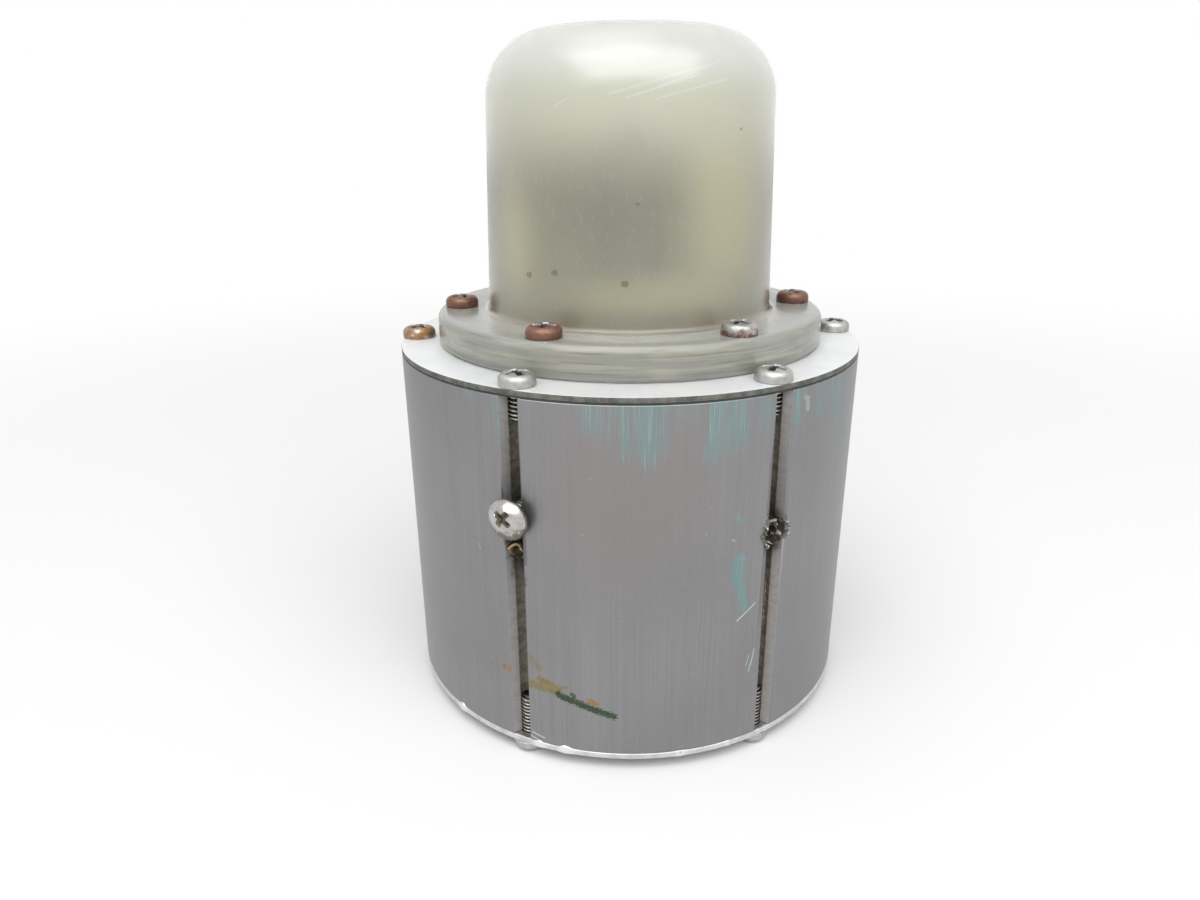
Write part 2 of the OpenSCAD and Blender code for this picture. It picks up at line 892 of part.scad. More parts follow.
module power_transistor() {
  tab_h = 6;
  leg_w = 0.8;
  leg_pitch = 2.54;
  lift = 3;
  color("#222326")
    under_board(sink_at)
      difference() {
        union() {
          translate([-transistor[0] / 2, -transistor[2], lift])
            cube([transistor[0], transistor[2], transistor[1] - lift - tab_h / 2]);
          translate([-transistor[0] / 2, -tab_t, lift])
            cube([transistor[0], tab_t, transistor_hole_z - lift + tab_h / 2]);
          for (i = [-1 : 1])
            translate([i * leg_pitch - leg_w / 2, -transistor[2] / 2 - leg_w / 2, 0])
              cube([leg_w, leg_w, lift + leg_w]);
        }
        translate([0, -transistor[2], transistor_hole_z])
          rotate([-90, 0, 0])
            cylinder(h = 2 * transistor[2], r = board_screw_d / 2 + slack);
      }
}

module transistor_screw() {
  color("#b0b0ac")
    under_board(sink_at)
      translate([0, -tab_t, transistor_hole_z])
        rotate([90, 0, 0])
          pan_screw(board_screw_d, tab_t + sink_t + 2, board_head_d, board_head_h, board_head_h / 2);
}

module trigger_coil() {
  core_d = 4;
  cheek_t = 1.2;
  color("#cbb04a")
    under_board(coil_at) {
      cylinder(h = cheek_t, d = coil_d);
      cylinder(h = coil_h, d = coil_d - 2 * cheek_t);
      translate([0, 0, coil_h - cheek_t])
        cylinder(h = cheek_t, d = coil_d);
      cylinder(h = coil_h + cheek_t, d = core_d);
    }
}

module trigger_capacitor() {
  color("#a8362c")
    under_board(film_at)
      translate([-film_l / 2, -film_w / 2, 0])
        cube([film_l, film_w, film_h]);
}

// Round component lying along X, with two bent leads
module axial_component(body_d, body_l, span) {
  lift = (body_d + lead_d) / 2;
  translate([-body_l / 2, 0, lift])
    rotate([0, 90, 0])
      cylinder(h = body_l, d = body_d);
  translate([-span / 2, 0, lift])
    rotate([0, 90, 0])
      cylinder(h = span, d = lead_d);
  for (side = [-1, 1])
    translate([side * (span - lead_d) / 2, 0, 0])
      cylinder(h = lift + lead_d / 2, d = lead_d);
}

module rectifier_diodes() {
  color("#2a2a2c")
    for (i = [0 : 2])
      under_board(diode_at + i * [diode_pitch, 0])
        rotate(90)
          axial_component(diode_d, diode_l, diode_span);
}

module resistors() {
  color("#b98f62")
    for (i = [0 : 2])
      under_board(resistor_at + i * [-resistor_shift, resistor_pitch])
        axial_component(resistor_d, resistor_l, resistor_span);
}

module terminal_block() {
  wire_d = block_w / 3;
  color("#3f7a50")
    under_board(block_at)
      difference() {
        translate([-block_l / 2, -block_w / 2, 0])
          cube([block_l, block_w, block_l]);
        for (side = [-1, 1])
          translate([0, side * block_w / 4, block_l / 3])
            rotate([0, 90, 0])
              cylinder(h = block_l, d = wire_d);
      }
}

body_tube();
base_plate();
base_screws();
cable_grommet();
screw_stub();
side_screw();
top_plate();
cover_gasket();
plate_screws();
clinch_nuts();
dome_lens();
dome_gasket();
dome_screws();
insulator_disc();
lamp_socket();
socket_contacts();
socket_screws();
socket_nuts();
tube_base();
tube_pins();
flash_tube();
tube_electrodes();
trigger_wire();
board_standoffs();
board_screws();
circuit_board();
lamp_leads();
storage_capacitor();
capacitor_clamp();
transformer_core();
transformer_bobbin();
transformer_winding();
transformer_strap();
heat_sink();
power_transistor();
transistor_screw();
trigger_coil();
trigger_capacitor();
rectifier_diodes();
resistors();
terminal_block();
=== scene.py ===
"""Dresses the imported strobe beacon: case, dome, lamp, screws and power supply, with finishes and a studio."""

import json
import math

import bmesh
import bpy
import numpy as np
from bpy.props import FloatProperty, FloatVectorProperty, PointerProperty
from mathutils import Matrix, Vector


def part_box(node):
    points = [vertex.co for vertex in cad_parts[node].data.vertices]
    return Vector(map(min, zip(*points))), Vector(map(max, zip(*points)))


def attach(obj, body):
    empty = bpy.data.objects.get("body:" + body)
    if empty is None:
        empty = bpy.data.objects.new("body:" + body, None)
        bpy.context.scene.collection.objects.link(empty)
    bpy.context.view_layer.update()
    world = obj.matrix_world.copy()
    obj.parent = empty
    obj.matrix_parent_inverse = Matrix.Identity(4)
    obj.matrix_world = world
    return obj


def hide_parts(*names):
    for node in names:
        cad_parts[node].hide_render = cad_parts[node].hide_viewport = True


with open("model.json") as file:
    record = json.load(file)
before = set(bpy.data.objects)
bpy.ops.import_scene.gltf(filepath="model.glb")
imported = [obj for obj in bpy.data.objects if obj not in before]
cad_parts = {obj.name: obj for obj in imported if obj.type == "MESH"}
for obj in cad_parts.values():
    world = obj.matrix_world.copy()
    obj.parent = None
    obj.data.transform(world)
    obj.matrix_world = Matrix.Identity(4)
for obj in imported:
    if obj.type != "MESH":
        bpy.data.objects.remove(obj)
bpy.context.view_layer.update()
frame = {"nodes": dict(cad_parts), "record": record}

bl_info = {
    "name": "Strobe beacon",
    "version": (1, 0, 0),
    "blender": (4, 5, 0),
    "location": "View3D > Sidebar > Beacon",
    "description": "Builds the visible pieces and finishes of a strobe beacon round its packed frame",
    "category": "Object",
}

TAU = 2 * math.pi
MM = 0.001
# Screw channels round the case: how many, the angle between two, and their distance from the axis.
CHANNELS = 6
SIXTH = 360 / CHANNELS
CHANNEL_RADIUS = 44.425 * MM
# Millimetres of arc to a degree round the case.
ARC = 0.8308
# Points closer than this are one, in metres.
TOUCH = 1e-6
# Points on each corner of a rounded rectangle.
CORNER_POINTS = 6


def top(node):
    """Highest point of a node, in metres."""
    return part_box(node)[1].z


def foot(node):
    """Lowest point of a node, in metres."""
    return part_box(node)[0].z


def box_mm(node):
    """A node's lowest and highest corners, in millimetres."""
    return tuple(np.array(corner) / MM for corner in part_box(node))


def reach(node):
    """How far a node runs along +X, in metres."""
    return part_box(node)[1].x


# Sizes and colours


def length(name, text, default):
    """A size in metres that a user may change."""
    return FloatProperty(name=name, description=text, default=default, unit="LENGTH", precision=5)


def colour(name, text, default):
    """A colour, in linear values, that a user may change."""
    return FloatVectorProperty(name=name, description=text, default=default, subtype="COLOR", size=3, min=0, max=1)


class BeaconSizes(bpy.types.PropertyGroup):
    """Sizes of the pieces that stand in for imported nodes."""

    case_radius: length("Case radius", "Outside radius of the tube and the plates", reach("base_plate"))
    channel_radius: length("Channel radius", "Distance of a screw channel from the axis", CHANNEL_RADIUS)
    channel_bore: length("Channel bore", "Radius of a screw channel", 1.8 * MM)
    mouth_width: length("Mouth width", "Width of a channel's mouth", 3.9 * MM)
    slit_width: length("Slit width", "Width of the slit behind the mouth", 2.2 * MM)
    slit_depth: length("Slit depth", "Depth of the slit below the surface", 1.9 * MM)
    boss_radius: length("Boss radius", "Distance of a boss's flat from the axis", 40.625 * MM)
    boss_width: length("Boss width", "Width of a boss", 7.6 * MM)
    tube_wall: length("Tube wall", "Wall thickness of the tube", 2.5 * MM)
    dome_radius: length("Dome radius", "Outside radius of the dome at the flange", 29.275 * MM)
    dome_wall: length("Dome wall", "Wall thickness of the dome", 2.6 * MM)
    dome_corner: length("Dome corner", "Radius of the dome's shoulder", 12.4 * MM)
    flange_thickness: length("Flange thickness", "Thickness of the dome's flange", 5.95 * MM)
    flange_edge: length("Flange edge", "Rounding of the flange's upper edge", 1.5 * MM)
    root_fillet: length("Root fillet", "Fillet between the dome and the flange", 1.0 * MM)
    dome_screw_radius: length("Dome screw circle", "Distance of the dome screws from the axis", 35.025 * MM)
    screw_hole: length("Screw hole", "Radius of a plain screw hole", 1.95 * MM)
    screw_shank: length("Shank radius", "Radius of a small screw's thread", 1.75 * MM)
    screw_head: length("Head radius", "Radius of a small screw's head", 3.35 * MM)
    head_height: length("Head height", "Height of a small screw's head", 2.4 * MM)
    thread_pitch: length("Thread pitch", "Distance between two turns of the thread", 0.79 * MM)
    glass_radius: length("Glass radius", "Outside radius of the flash tube's glass", 2.8 * MM)
    glass_bore: length("Glass bore", "Inside radius of the flash tube's glass", 2.0 * MM)
    leg_reach: length("Leg reach", "Distance of a glass leg from the axis", 5.4 * MM)


class BeaconColours(bpy.types.PropertyGroup):
    """Colours of the finishes."""

    tube_alloy: colour("Tube alloy", "Satin extruded aluminium of the case", (0.255, 0.255, 0.260))
    plate_alloy: colour("Plate alloy", "Pale sheet of the top plate", (0.74, 0.75, 0.76))
    base_alloy: colour("Base alloy", "Sheet of the base plate", (0.52, 0.52, 0.53))
    overspray: colour("Overspray", "Teal paint dragged over the case", (0.085, 0.27, 0.265))
    mustard: colour("Mustard smear", "Paint smeared low on the case", (0.225, 0.168, 0.024))
    dark_green: colour("Green smear", "Dark paint beside the mustard smear", (0.022, 0.052, 0.014))
    zinc: colour("Zinc", "Dull zinc plate of the screws", (0.46, 0.46, 0.445))
    rust: colour("Rust", "Brown rust on the screws", (0.165, 0.082, 0.056))
    bright_steel: colour("Bright steel", "Worn steel of the side screw", (0.50, 0.49, 0.475))
    # Also laid as painted light on the dome's lit sides.
    dome_haze_and_light: colour("Dome haze", "Yellowed patches of the dome", (0.80, 0.76, 0.53))
    dome_grey: colour("Dome grey", "Haze all over the dome", (0.50, 0.495, 0.40))
    flange_tint: colour("Flange tint", "Clear plastic of the flange", (0.58, 0.60, 0.54))
    floor: colour("Floor", "Plain pale floor", (0.78, 0.78, 0.78))


# Surfaces


def arc(centre, radius, start, end, count):
    """Points on a circle from one angle to another, in degrees: centre plus radius times (cos, sin)."""
    a = np.radians(np.linspace(start, end, count))
    return np.stack([centre[0] + radius * np.cos(a), centre[1] + radius * np.sin(a)], axis=1)


def chain(*parts):
    """Joins points and runs of points into one path."""
    return np.concatenate([np.atleast_2d(np.asarray(p, float)) for p in parts])


def full_turn(count):
    """Even angles round a full turn, in radians."""
    return np.arange(count) * TAU / count


def lathe(angle, radius, height):
    """Points (r cos a, r sin a, z), whose radii and heights run along a profile and may change with the angle."""
    a = angle[:, None]
    return np.stack(np.broadcast_arrays(radius * np.cos(a), radius * np.sin(a), height), axis=-1)


def revolve(profile, count):
    """Carries a profile of (radius, height) round the Z axis: (r cos a, r sin a, z)."""
    return lathe(full_turn(count), profile[:, 0], profile[:, 1])


def turned(points, degrees):
    """Turns points about the Z axis."""
    c, s = math.cos(math.radians(degrees)), math.sin(math.radians(degrees))
    return points @ np.array([[c, s, 0], [-s, c, 0], [0, 0, 1]])


def aimed(points, origin, direction):
    """Moves points so that their +Z runs along a direction from an origin."""
    z = np.asarray(direction, float) / np.linalg.norm(direction)
    side = np.array([0, 0, 1.0]) if abs(z[2]) < 0.9 else np.array([1.0, 0, 0])
    x = np.cross(side, z)
    x /= np.linalg.norm(x)
    return points @ np.array([x, np.cross(z, x), z]) + np.asarray(origin, float)


def swept(path, radius, count):
    """Carries a circle along a path: each point plus radius times the path's two side directions, the first of them
    square to Y where the path stays in a plane of even Y, and to a slanting line where it doesn't."""
    ahead = np.gradient(path, axis=0)
    ahead /= np.linalg.norm(ahead, axis=1, keepdims=True)
    level = np.ptp(path[:, 1]) < TOUCH
    side = np.cross(ahead, (0.0, 1.0, 0.0) if level else (0.31, 0.17, 0.93))
    side /= np.linalg.norm(side, axis=1, keepdims=True)
    other = np.cross(ahead, side)
    a = full_turn(count)[:, None]
    ring = np.cos(a) * side[:, None] + np.sin(a) * other[:, None]
    return path[:, None] + np.reshape(radius, (-1, 1, 1)) * ring


def bent(points, radius):
    """Path through points whose corners are rounded by quadratic curves that start and end at a radius from them."""
    points = np.asarray(points, float)
    t = np.linspace(0, 1, 7)[:, None]
    run = [points[:1]]
    for before, corner, after in zip(points, points[1:], points[2:]):
        start = corner + (before - corner) * radius / np.linalg.norm(before - corner)
        end = corner + (after - corner) * radius / np.linalg.norm(after - corner)
        run.append((1 - t) ** 2 * start + 2 * t * (1 - t) * corner + t ** 2 * end)
    return np.concatenate(run + [points[-1:]])


def rounded_rectangle(half, corner):
    """Closed path of a rectangle about its middle, with quarter circles at its corners."""
    a = np.radians(np.concatenate([np.linspace(q, q + 90, CORNER_POINTS) for q in (0, 90, 180, 270)]))
    side = np.repeat([(1, 1), (-1, 1), (-1, -1), (1, -1)], CORNER_POINTS, axis=0) * (np.asarray(half, float) - corner)
    return side + corner * np.stack([np.cos(a), np.sin(a)], axis=1)


def rounded_box(low, high, corner, edge):
    """Box: a rounded rectangle carried up Z, drawn in along a quarter circle at both ends and closed there."""
    low, high = np.asarray(low, float), np.asarray(high, float)
    half, middle = (high - low)[:2] / 2, np.append((high + low)[:2] / 2, 0)
    bend = np.radians(np.linspace(90, 0, 5))
    ends = list(zip(edge * (1 - np.cos(bend)), edge * (1 - np.sin(bend))))
    rows = [(d, low[2] + up) for d, up in ends] + [(d, high[2] - up) for d, up in ends[::-1]]
    sides = [raised(rounded_rectangle(half - d, corner - d), z) for d, z in rows]
    poles = [raised(np.zeros((4 * CORNER_POINTS, 2)), z) for z in (low[2], high[2])]
    return np.stack([poles[0], *sides, poles[1]], axis=1) + middle


def drilled_sector(inner, outer, pitch_radius, hole, z, angles=None, arcs=20):
    """Flat sector of a ring with one hole: straight lines from the hole's rim to the sector's outline."""
    half, sides, rows = SIXTH / 2, 6, 4
    bow = np.linspace(-half, half, arcs + 1)[:-1]
    run = np.linspace(outer, inner, sides + 1)[:-1]
    angle = np.radians(np.concatenate([bow, np.full(sides, half), -bow, np.full(sides, -half)]))
    radius = np.concatenate([np.full(arcs, outer), run, np.full(arcs, inner), run[::-1] - (run[0] - run[1])])
    outline = np.stack([radius * np.cos(angle), radius * np.sin(angle)], axis=1)
    if angles is None:
        angles = np.arctan2(outline[:, 1], outline[:, 0] - pitch_radius)
    rim = np.stack([pitch_radius + hole * np.cos(angles), hole * np.sin(angles)], axis=1)
    t = np.linspace(0, 1, rows + 1)[None, :, None]
    flat = rim[:, None] * (1 - t) + outline[:, None] * t
    return np.concatenate([flat, np.full(flat.shape[:2] + (1,), z)], axis=2), angles


def add_sectors(skin, upper, lower, slot=0):
    """Adds two drilled sectors and the wall of their hole, repeated round the axis."""
    for turn in range(CHANNELS):
        for flat in (upper, lower, np.stack([upper[:, 0], lower[:, 0]], axis=1)):
            skin.grid(turned(flat, turn * SIXTH), slot=slot)


class Skin:
    """Collects grids of points, and makes them one mesh."""

    def __init__(self):
        self.points, self.faces, self.slots, self.marks, self.count = [], [], [], [], 0

    def grid(self, points, around=True, along=False, slot=0, mark=0.0):
        """Adds quads between neighbours of a grid of points, closed around its first or second parameter."""
        nu, nv = points.shape[:2]
        i, j = np.meshgrid(np.arange(nu if around else nu - 1), np.arange(nv if along else nv - 1), indexing="ij")
        i1, j1 = (i + 1) % nu, (j + 1) % nv
        quads = np.stack([i * nv + j, i1 * nv + j, i1 * nv + j1, i * nv + j1], axis=-1).reshape(-1, 4)
        self.points.append(points.reshape(-1, 3))
        self.faces.append(quads + self.count)
        self.slots.append(np.full(len(quads), slot))
        self.marks.append(np.broadcast_to(mark, (nu, nv)).reshape(-1))
        self.count += nu * nv
        return self

    def wire(self, path, radius, count=10, slot=0, mark=0.0):
        """Adds a round wire along a path, closed at both ends."""
        tube = swept(path, radius, count)
        ends = np.broadcast_to(tube[[0, -1]].mean(axis=1, keepdims=True), (2, count, 3))
        return self.grid(np.concatenate([ends[:1], tube, ends[1:]]), False, True, slot, mark)

    def mesh(self, name, sharp):
        """Welds the grids, turns their faces outwards and marks edges sharper than an angle."""
        mesh = bpy.data.meshes.new(name)
        mesh.from_pydata(np.concatenate(self.points), [], np.concatenate(self.faces))
        mesh.polygons.foreach_set("material_index", np.concatenate(self.slots).astype(np.int32))
        mark = mesh.attributes.new("mark", "FLOAT", "POINT")
        mark.data.foreach_set("value", np.concatenate(self.marks).astype(np.float32))
        bm = bmesh.new()
        bm.from_mesh(mesh)
        bmesh.ops.remove_doubles(bm, verts=bm.verts, dist=2 * TOUCH)
        bmesh.ops.recalc_face_normals(bm, faces=bm.faces)
        bm.to_mesh(mesh)
        bm.free()
        mesh.shade_smooth()
        mesh.set_sharp_from_angle(angle=math.radians(sharp))
        return mesh


def piece(name, skin, materials, body, nodes=(), sharp=38):
    """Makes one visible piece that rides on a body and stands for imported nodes. A material may be a record slot."""
    obj = bpy.data.objects.new(name, skin.mesh(name, sharp))
    bpy.context.scene.collection.objects.link(obj)
    for material in materials:
        obj.data.materials.append(record_finish(material) if isinstance(material, str) else material)
    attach(obj, body)
    if nodes:
        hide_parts(*nodes)
    return obj


# Shader nodes


def put(tree, kind, inputs=None, **settings):
    """Adds a node, sets it up, and wires or sets its inputs."""
    node = tree.nodes.new(kind)
    for key, value in settings.items():
        setattr(node, key, value)
    for key, value in (inputs or {}).items():
        if isinstance(value, bpy.types.NodeSocket):
            tree.links.new(value, node.inputs[key])
        else:
            node.inputs[key].default_value = value
    return node


def calc(tree, operation, a, b=0.0, c=0.0):
    """Adds a Math node."""
    return put(tree, "ShaderNodeMath", {0: a, 1: b, 2: c}, operation=operation).outputs[0]


def scaled(tree, value, factor, start=0.0):
    """A value times a factor, plus a start."""
    return calc(tree, "MULTIPLY_ADD", value, factor, start)


def ramp(tree, value, low, high):
    """Smooth step of a value between two limits; it falls where low is above high."""
    if low > high:
        return scaled(tree, ramp(tree, value, high, low), -1.0, 1.0)
    inputs = {"Value": value, "From Min": low, "From Max": high}
    return put(tree, "ShaderNodeMapRange", inputs, interpolation_type="SMOOTHSTEP").outputs[0]


def mix(tree, factor, a, b):
    """Mixes two colours."""
    node = put(tree, "ShaderNodeMix", data_type="RGBA")
    for index, value in ((0, factor), (6, a), (7, b)):
        if isinstance(value, bpy.types.NodeSocket):
            tree.links.new(value, node.inputs[index])
        else:
            node.inputs[index].default_value = value if index == 0 else (*value[:3], 1)
    return node.outputs[2]


def mottle(tree, value, low, high, one, other):
    """Goes from one colour to another while a value rises between two limits."""
    return mix(tree, ramp(tree, value, low, high), one, other)


def over(tree, below, mask, above, share=1.0):
    """Lays a colour over another where a mask says so."""
    return mix(tree, scaled(tree, mask, share), below, above)


def strongest(tree, masks):
    """The greatest of several masks at each place."""
    greatest, *others = masks
    for mask in others:
        greatest = calc(tree, "MAXIMUM", greatest, mask)
    return greatest


def noise(tree, vector, scale, detail=2.0, roughness=0.5):
    """Noise between 0 and 1."""
    inputs = {"Vector": vector, "Scale": scale, "Detail": detail, "Roughness": roughness}
    return put(tree, "ShaderNodeTexNoise", inputs).outputs[0]


def stretched(tree, vector, x, y, z):
    """Scales a vector along its three axes."""
    return put(tree, "ShaderNodeMapping", {"Vector": vector, "Scale": (x, y, z)}).outputs[0]


def object_place(tree):
    """A point's place on the object, in metres."""
    return put(tree, "ShaderNodeTexCoord").outputs["Object"]


def mesh_mark(tree):
    """The mark that a mesh carries at a point."""
    return put(tree, "ShaderNodeAttribute", attribute_name="mark").outputs["Fac"]


def group_of(name, inputs, outputs, fill):
    """Makes a node group once. fill gets the tree and its inputs, and returns what goes to the outputs."""
    tree = bpy.data.node_groups.new(name, "ShaderNodeTree")
    for label, kind, default in inputs:
        socket = tree.interface.new_socket(name=label, in_out="INPUT", socket_type="NodeSocket" + kind)
        if default is not None:
            socket.default_value = default
    for label, kind in outputs:
        tree.interface.new_socket(name=label, in_out="OUTPUT", socket_type="NodeSocket" + kind)
    source = tree.nodes.new("NodeGroupInput")
    sink = tree.nodes.new("NodeGroupOutput")
    for (label, _), value in zip(outputs, fill(tree, source.outputs)):
        tree.links.new(value, sink.inputs[label])
    return tree


def length_of(tree, x, y):
    """Length of a flat vector, from its two parts."""
    return calc(tree, "SQRT", scaled(tree, x, x, scaled(tree, y, y)))


def fill_round_axis(tree, given):
    """Angle in degrees, height and radius in millimetres of a point round the beacon's axis, the distance from
    the nearest screw channel's axis, and the place on the case unrolled to arc and height."""
    x, y, z = put(tree, "ShaderNodeSeparateXYZ", {0: given["Vector"]}).outputs
    turn = calc(tree, "ARCTAN2", y, x)
    radius = scaled(tree, length_of(tree, x, y), 1 / MM)
    height = scaled(tree, z, 1 / MM)
    half = math.pi / CHANNELS
    folded = calc(tree, "WRAP", turn, half, -half)
    along = scaled(tree, radius, calc(tree, "COSINE", folded), -CHANNEL_RADIUS / MM)
    across = scaled(tree, radius, calc(tree, "SINE", folded))
    flat = put(tree, "ShaderNodeCombineXYZ", {0: scaled(tree, turn, ARC / math.radians(1)), 1: height}).outputs[0]
    return scaled(tree, turn, 360 / TAU), height, radius, length_of(tree, along, across), flat


def frayed(tree, given, away):
    """A distance from the middle of a mark, moved in and out by a broken value."""
    return scaled(tree, calc(tree, "SUBTRACT", given["Broken"], 0.5), given["Raggedness"], away)


def fill_patch(tree, given):
    """Mask of a soft patch: 1 inside an oval of angle and height, with its edge broken by a value."""
    across = calc(tree, "DIVIDE", calc(tree, "SUBTRACT", given["Angle"], given["At angle"]), given["Half width"])
    up = calc(tree, "DIVIDE", calc(tree, "SUBTRACT", given["Height"], given["At height"]), given["Half height"])
    return (ramp(tree, frayed(tree, given, length_of(tree, across, up)), 1.3, 0.2),)


def fill_stroke(tree, given):
    """Mask of a stroke: the distance from a straight line over its half width, with the edge broken by a value."""
    def sub(a, b):
        return put(tree, "ShaderNodeVectorMath", {0: a, 1: b}, operation="SUBTRACT").outputs[0]

    def dot(a, b):
        return put(tree, "ShaderNodeVectorMath", {0: a, 1: b}, operation="DOT_PRODUCT").outputs["Value"]

    away, line = sub(given["Flat"], given["Start"]), sub(given["End"], given["Start"])
    share = put(tree, "ShaderNodeClamp", {0: calc(tree, "DIVIDE", dot(away, line), dot(line, line))}).outputs[0]
    nearest = put(tree, "ShaderNodeVectorMath", {0: line, "Scale": share}, operation="SCALE").outputs[0]
    rest = put(tree, "ShaderNodeVectorMath", {0: sub(away, nearest)}, operation="LENGTH").outputs["Value"]
    return (ramp(tree, frayed(tree, given, calc(tree, "DIVIDE", rest, given["Width"])), 1.05, 0.6),)


def fill_grain(tree, given):
    """Fine drawn lines that run along Z, from noise stretched along Z."""
    fine = noise(tree, stretched(tree, given["Vector"], 3200, 3200, 26), 1.0, 2.0)
    broad = noise(tree, stretched(tree, given["Vector"], 700, 700, 6), 1.0, 2.0)
    return (scaled(tree, fine, 0.75, scaled(tree, broad, 0.25)),)


def fill_speckle(tree, given):
    """Small spots: cells whose own value falls under an amount, shrunk to a dot."""
    cells = put(tree, "ShaderNodeTexVoronoi", {"Vector": given["Vector"], "Scale": given["Scale"]}).outputs
    own = put(tree, "ShaderNodeSeparateXYZ", {0: cells["Color"]}).outputs[0]
    chosen = calc(tree, "LESS_THAN", own, given["Amount"])
    return (scaled(tree, ramp(tree, cells["Distance"], 0.34, 0.12), chosen),)


def fill_scratches(tree, given):
    """Thin scratches: the places where a stretched noise passes its middle value, broken by a broad noise."""
    ridge = noise(tree, given["Vector"], given["Scale"], 1.0)
    line = ramp(tree, calc(tree, "ABSOLUTE", calc(tree, "SUBTRACT", ridge, 0.5)), 0.012, 0.002)
    gate = ramp(tree, noise(tree, given["Vector"], scaled(tree, given["Scale"], 2.3), 2.0), 0.52, 0.66)
    return (scaled(tree, line, gate),)


def fill_rust(tree, given):
    """Rust: a mask that grows with an amount over blotchy noise, a mottled brown, and a rough height."""
    blotch = noise(tree, given["Vector"], 900.0, 4.0, 0.62)
    floor = scaled(tree, given["Amount"], -0.62, 0.74)
    mask = ramp(tree, calc(tree, "SUBTRACT", blotch, floor), 0.0, 0.2)
    fine = noise(tree, given["Vector"], 2600.0, 4.0, 0.7)
    brown = mottle(tree, fine, 0.35, 0.7, given["Colour"], given["Flare"])
    dark = mottle(tree, blotch, 0.62, 0.75, brown, (0.085, 0.040, 0.026))
    return mask, dark, scaled(tree, fine, mask)


def make_groups():
    """Builds the shared node groups, each from its inputs, its outputs and what fills it."""
    vector, mask = ("Vector", "Vector", None), [("Mask", "Float")]
    edge = [("Broken", "Float", 0.5), ("Raggedness", "Float", 1.0)]
    oval = [(label, "Float", default) for label, default in (
        ("Angle", 0.0), ("Height", 0.0), ("At angle", 0.0), ("Half width", 1.0), ("At height", 0.0),
        ("Half height", 1.0))]
    line = [(label, "Vector", None) for label in ("Flat", "Start", "End")]
    spot = [(label, "Float") for label in ("Angle", "Height", "Radius", "Bore")]
    return {
        "round": group_of("round_the_axis", [vector], [*spot, ("Flat", "Vector")], fill_round_axis),
        "patch": group_of("soft_patch", oval + edge, mask, fill_patch),
        "stroke": group_of("paint_stroke", [*line, ("Width", "Float", 1.0), *edge], mask, fill_stroke),
        "grain": group_of("drawn_grain", [vector], [("Value", "Float")], fill_grain),
        "speckle": group_of("speckle", [vector, ("Scale", "Float", 300.0), ("Amount", "Float", 0.1)], mask,
                            fill_speckle),
        "scratches": group_of("scratches", [vector, ("Scale", "Float", 60.0)], mask, fill_scratches),
        "rust": group_of("rust", [vector, ("Amount", "Float", 0.5), ("Colour", "Color", (0.2, 0.11, 0.08, 1)),
                                  ("Flare", "Color", (0.4, 0.16, 0.05, 1))],
                         [*mask, ("Colour", "Color"), ("Height", "Float")], fill_rust),
    }


GROUPS = make_groups()


def effect(tree, name, **inputs):
    """Places a shared node group."""
    named = {key.replace("_", " ").capitalize(): value for key, value in inputs.items()}
    return put(tree, "ShaderNodeGroup", named, node_tree=GROUPS[name]).outputs


def patch(tree, spot, row, broken, raggedness):
    """Mask of a soft patch, by its middle and half width in degrees, and its middle and half height in millimetres."""
    turn, wide, z, tall = row
    return effect(tree, "patch", angle=spot["Angle"], height=spot["Height"], at_angle=turn, half_width=wide,
                  at_height=z, half_height=tall, broken=broken, raggedness=raggedness)["Mask"]


def stroke(tree, flat, row, broken, raggedness):
    """Mask of a stroke, by the angle and height where it starts and ends, and its half width in millimetres."""
    turn0, z0, turn1, z1, wide = row
    return effect(tree, "stroke", flat=flat, start=(turn0 * ARC, z0, 0), end=(turn1 * ARC, z1, 0), width=wide,
                  broken=broken, raggedness=raggedness)["Mask"]


def speckle(tree, place, scale, amount):
    """Mask of small spots."""
    return effect(tree, "speckle", vector=place, scale=scale, amount=amount)["Mask"]


def new_finish(name, **values):
    """A new material, its tree and its shader, with plain values set on the shader."""
    material = bpy.data.materials.new(name)
    material.use_nodes = True
    shader = material.node_tree.nodes["Principled BSDF"]
    for key, value in values.items():
        shader.inputs[key if key.isupper() else key.replace("_", " ").title()].default_value = value
    return material, material.node_tree, shader


def feed(tree, shader, **sockets):
    """Joins worked-out values to the shader's sockets."""
    for key, value in sockets.items():
        tree.links.new(value, shader.inputs[key.replace("_", " ").title()])


def bumped(tree, shader, height, strength, distance):
    """Gives the shader a bump."""
    bump = put(tree, "ShaderNodeBump", {"Height": height, "Strength": strength, "Distance": distance})
    tree.links.new(bump.outputs[0], shader.inputs["Normal"])


def colours():
    """The colours that are set in the panel."""
    return bpy.context.scene.beacon_colours


def sizes():
    """The sizes that are set in the panel."""
    return bpy.context.scene.beacon_sizes


def tint(value, factor):
    """A lighter or darker colour."""
    return tuple(min(1.0, c * factor) for c in value)


# Finishes


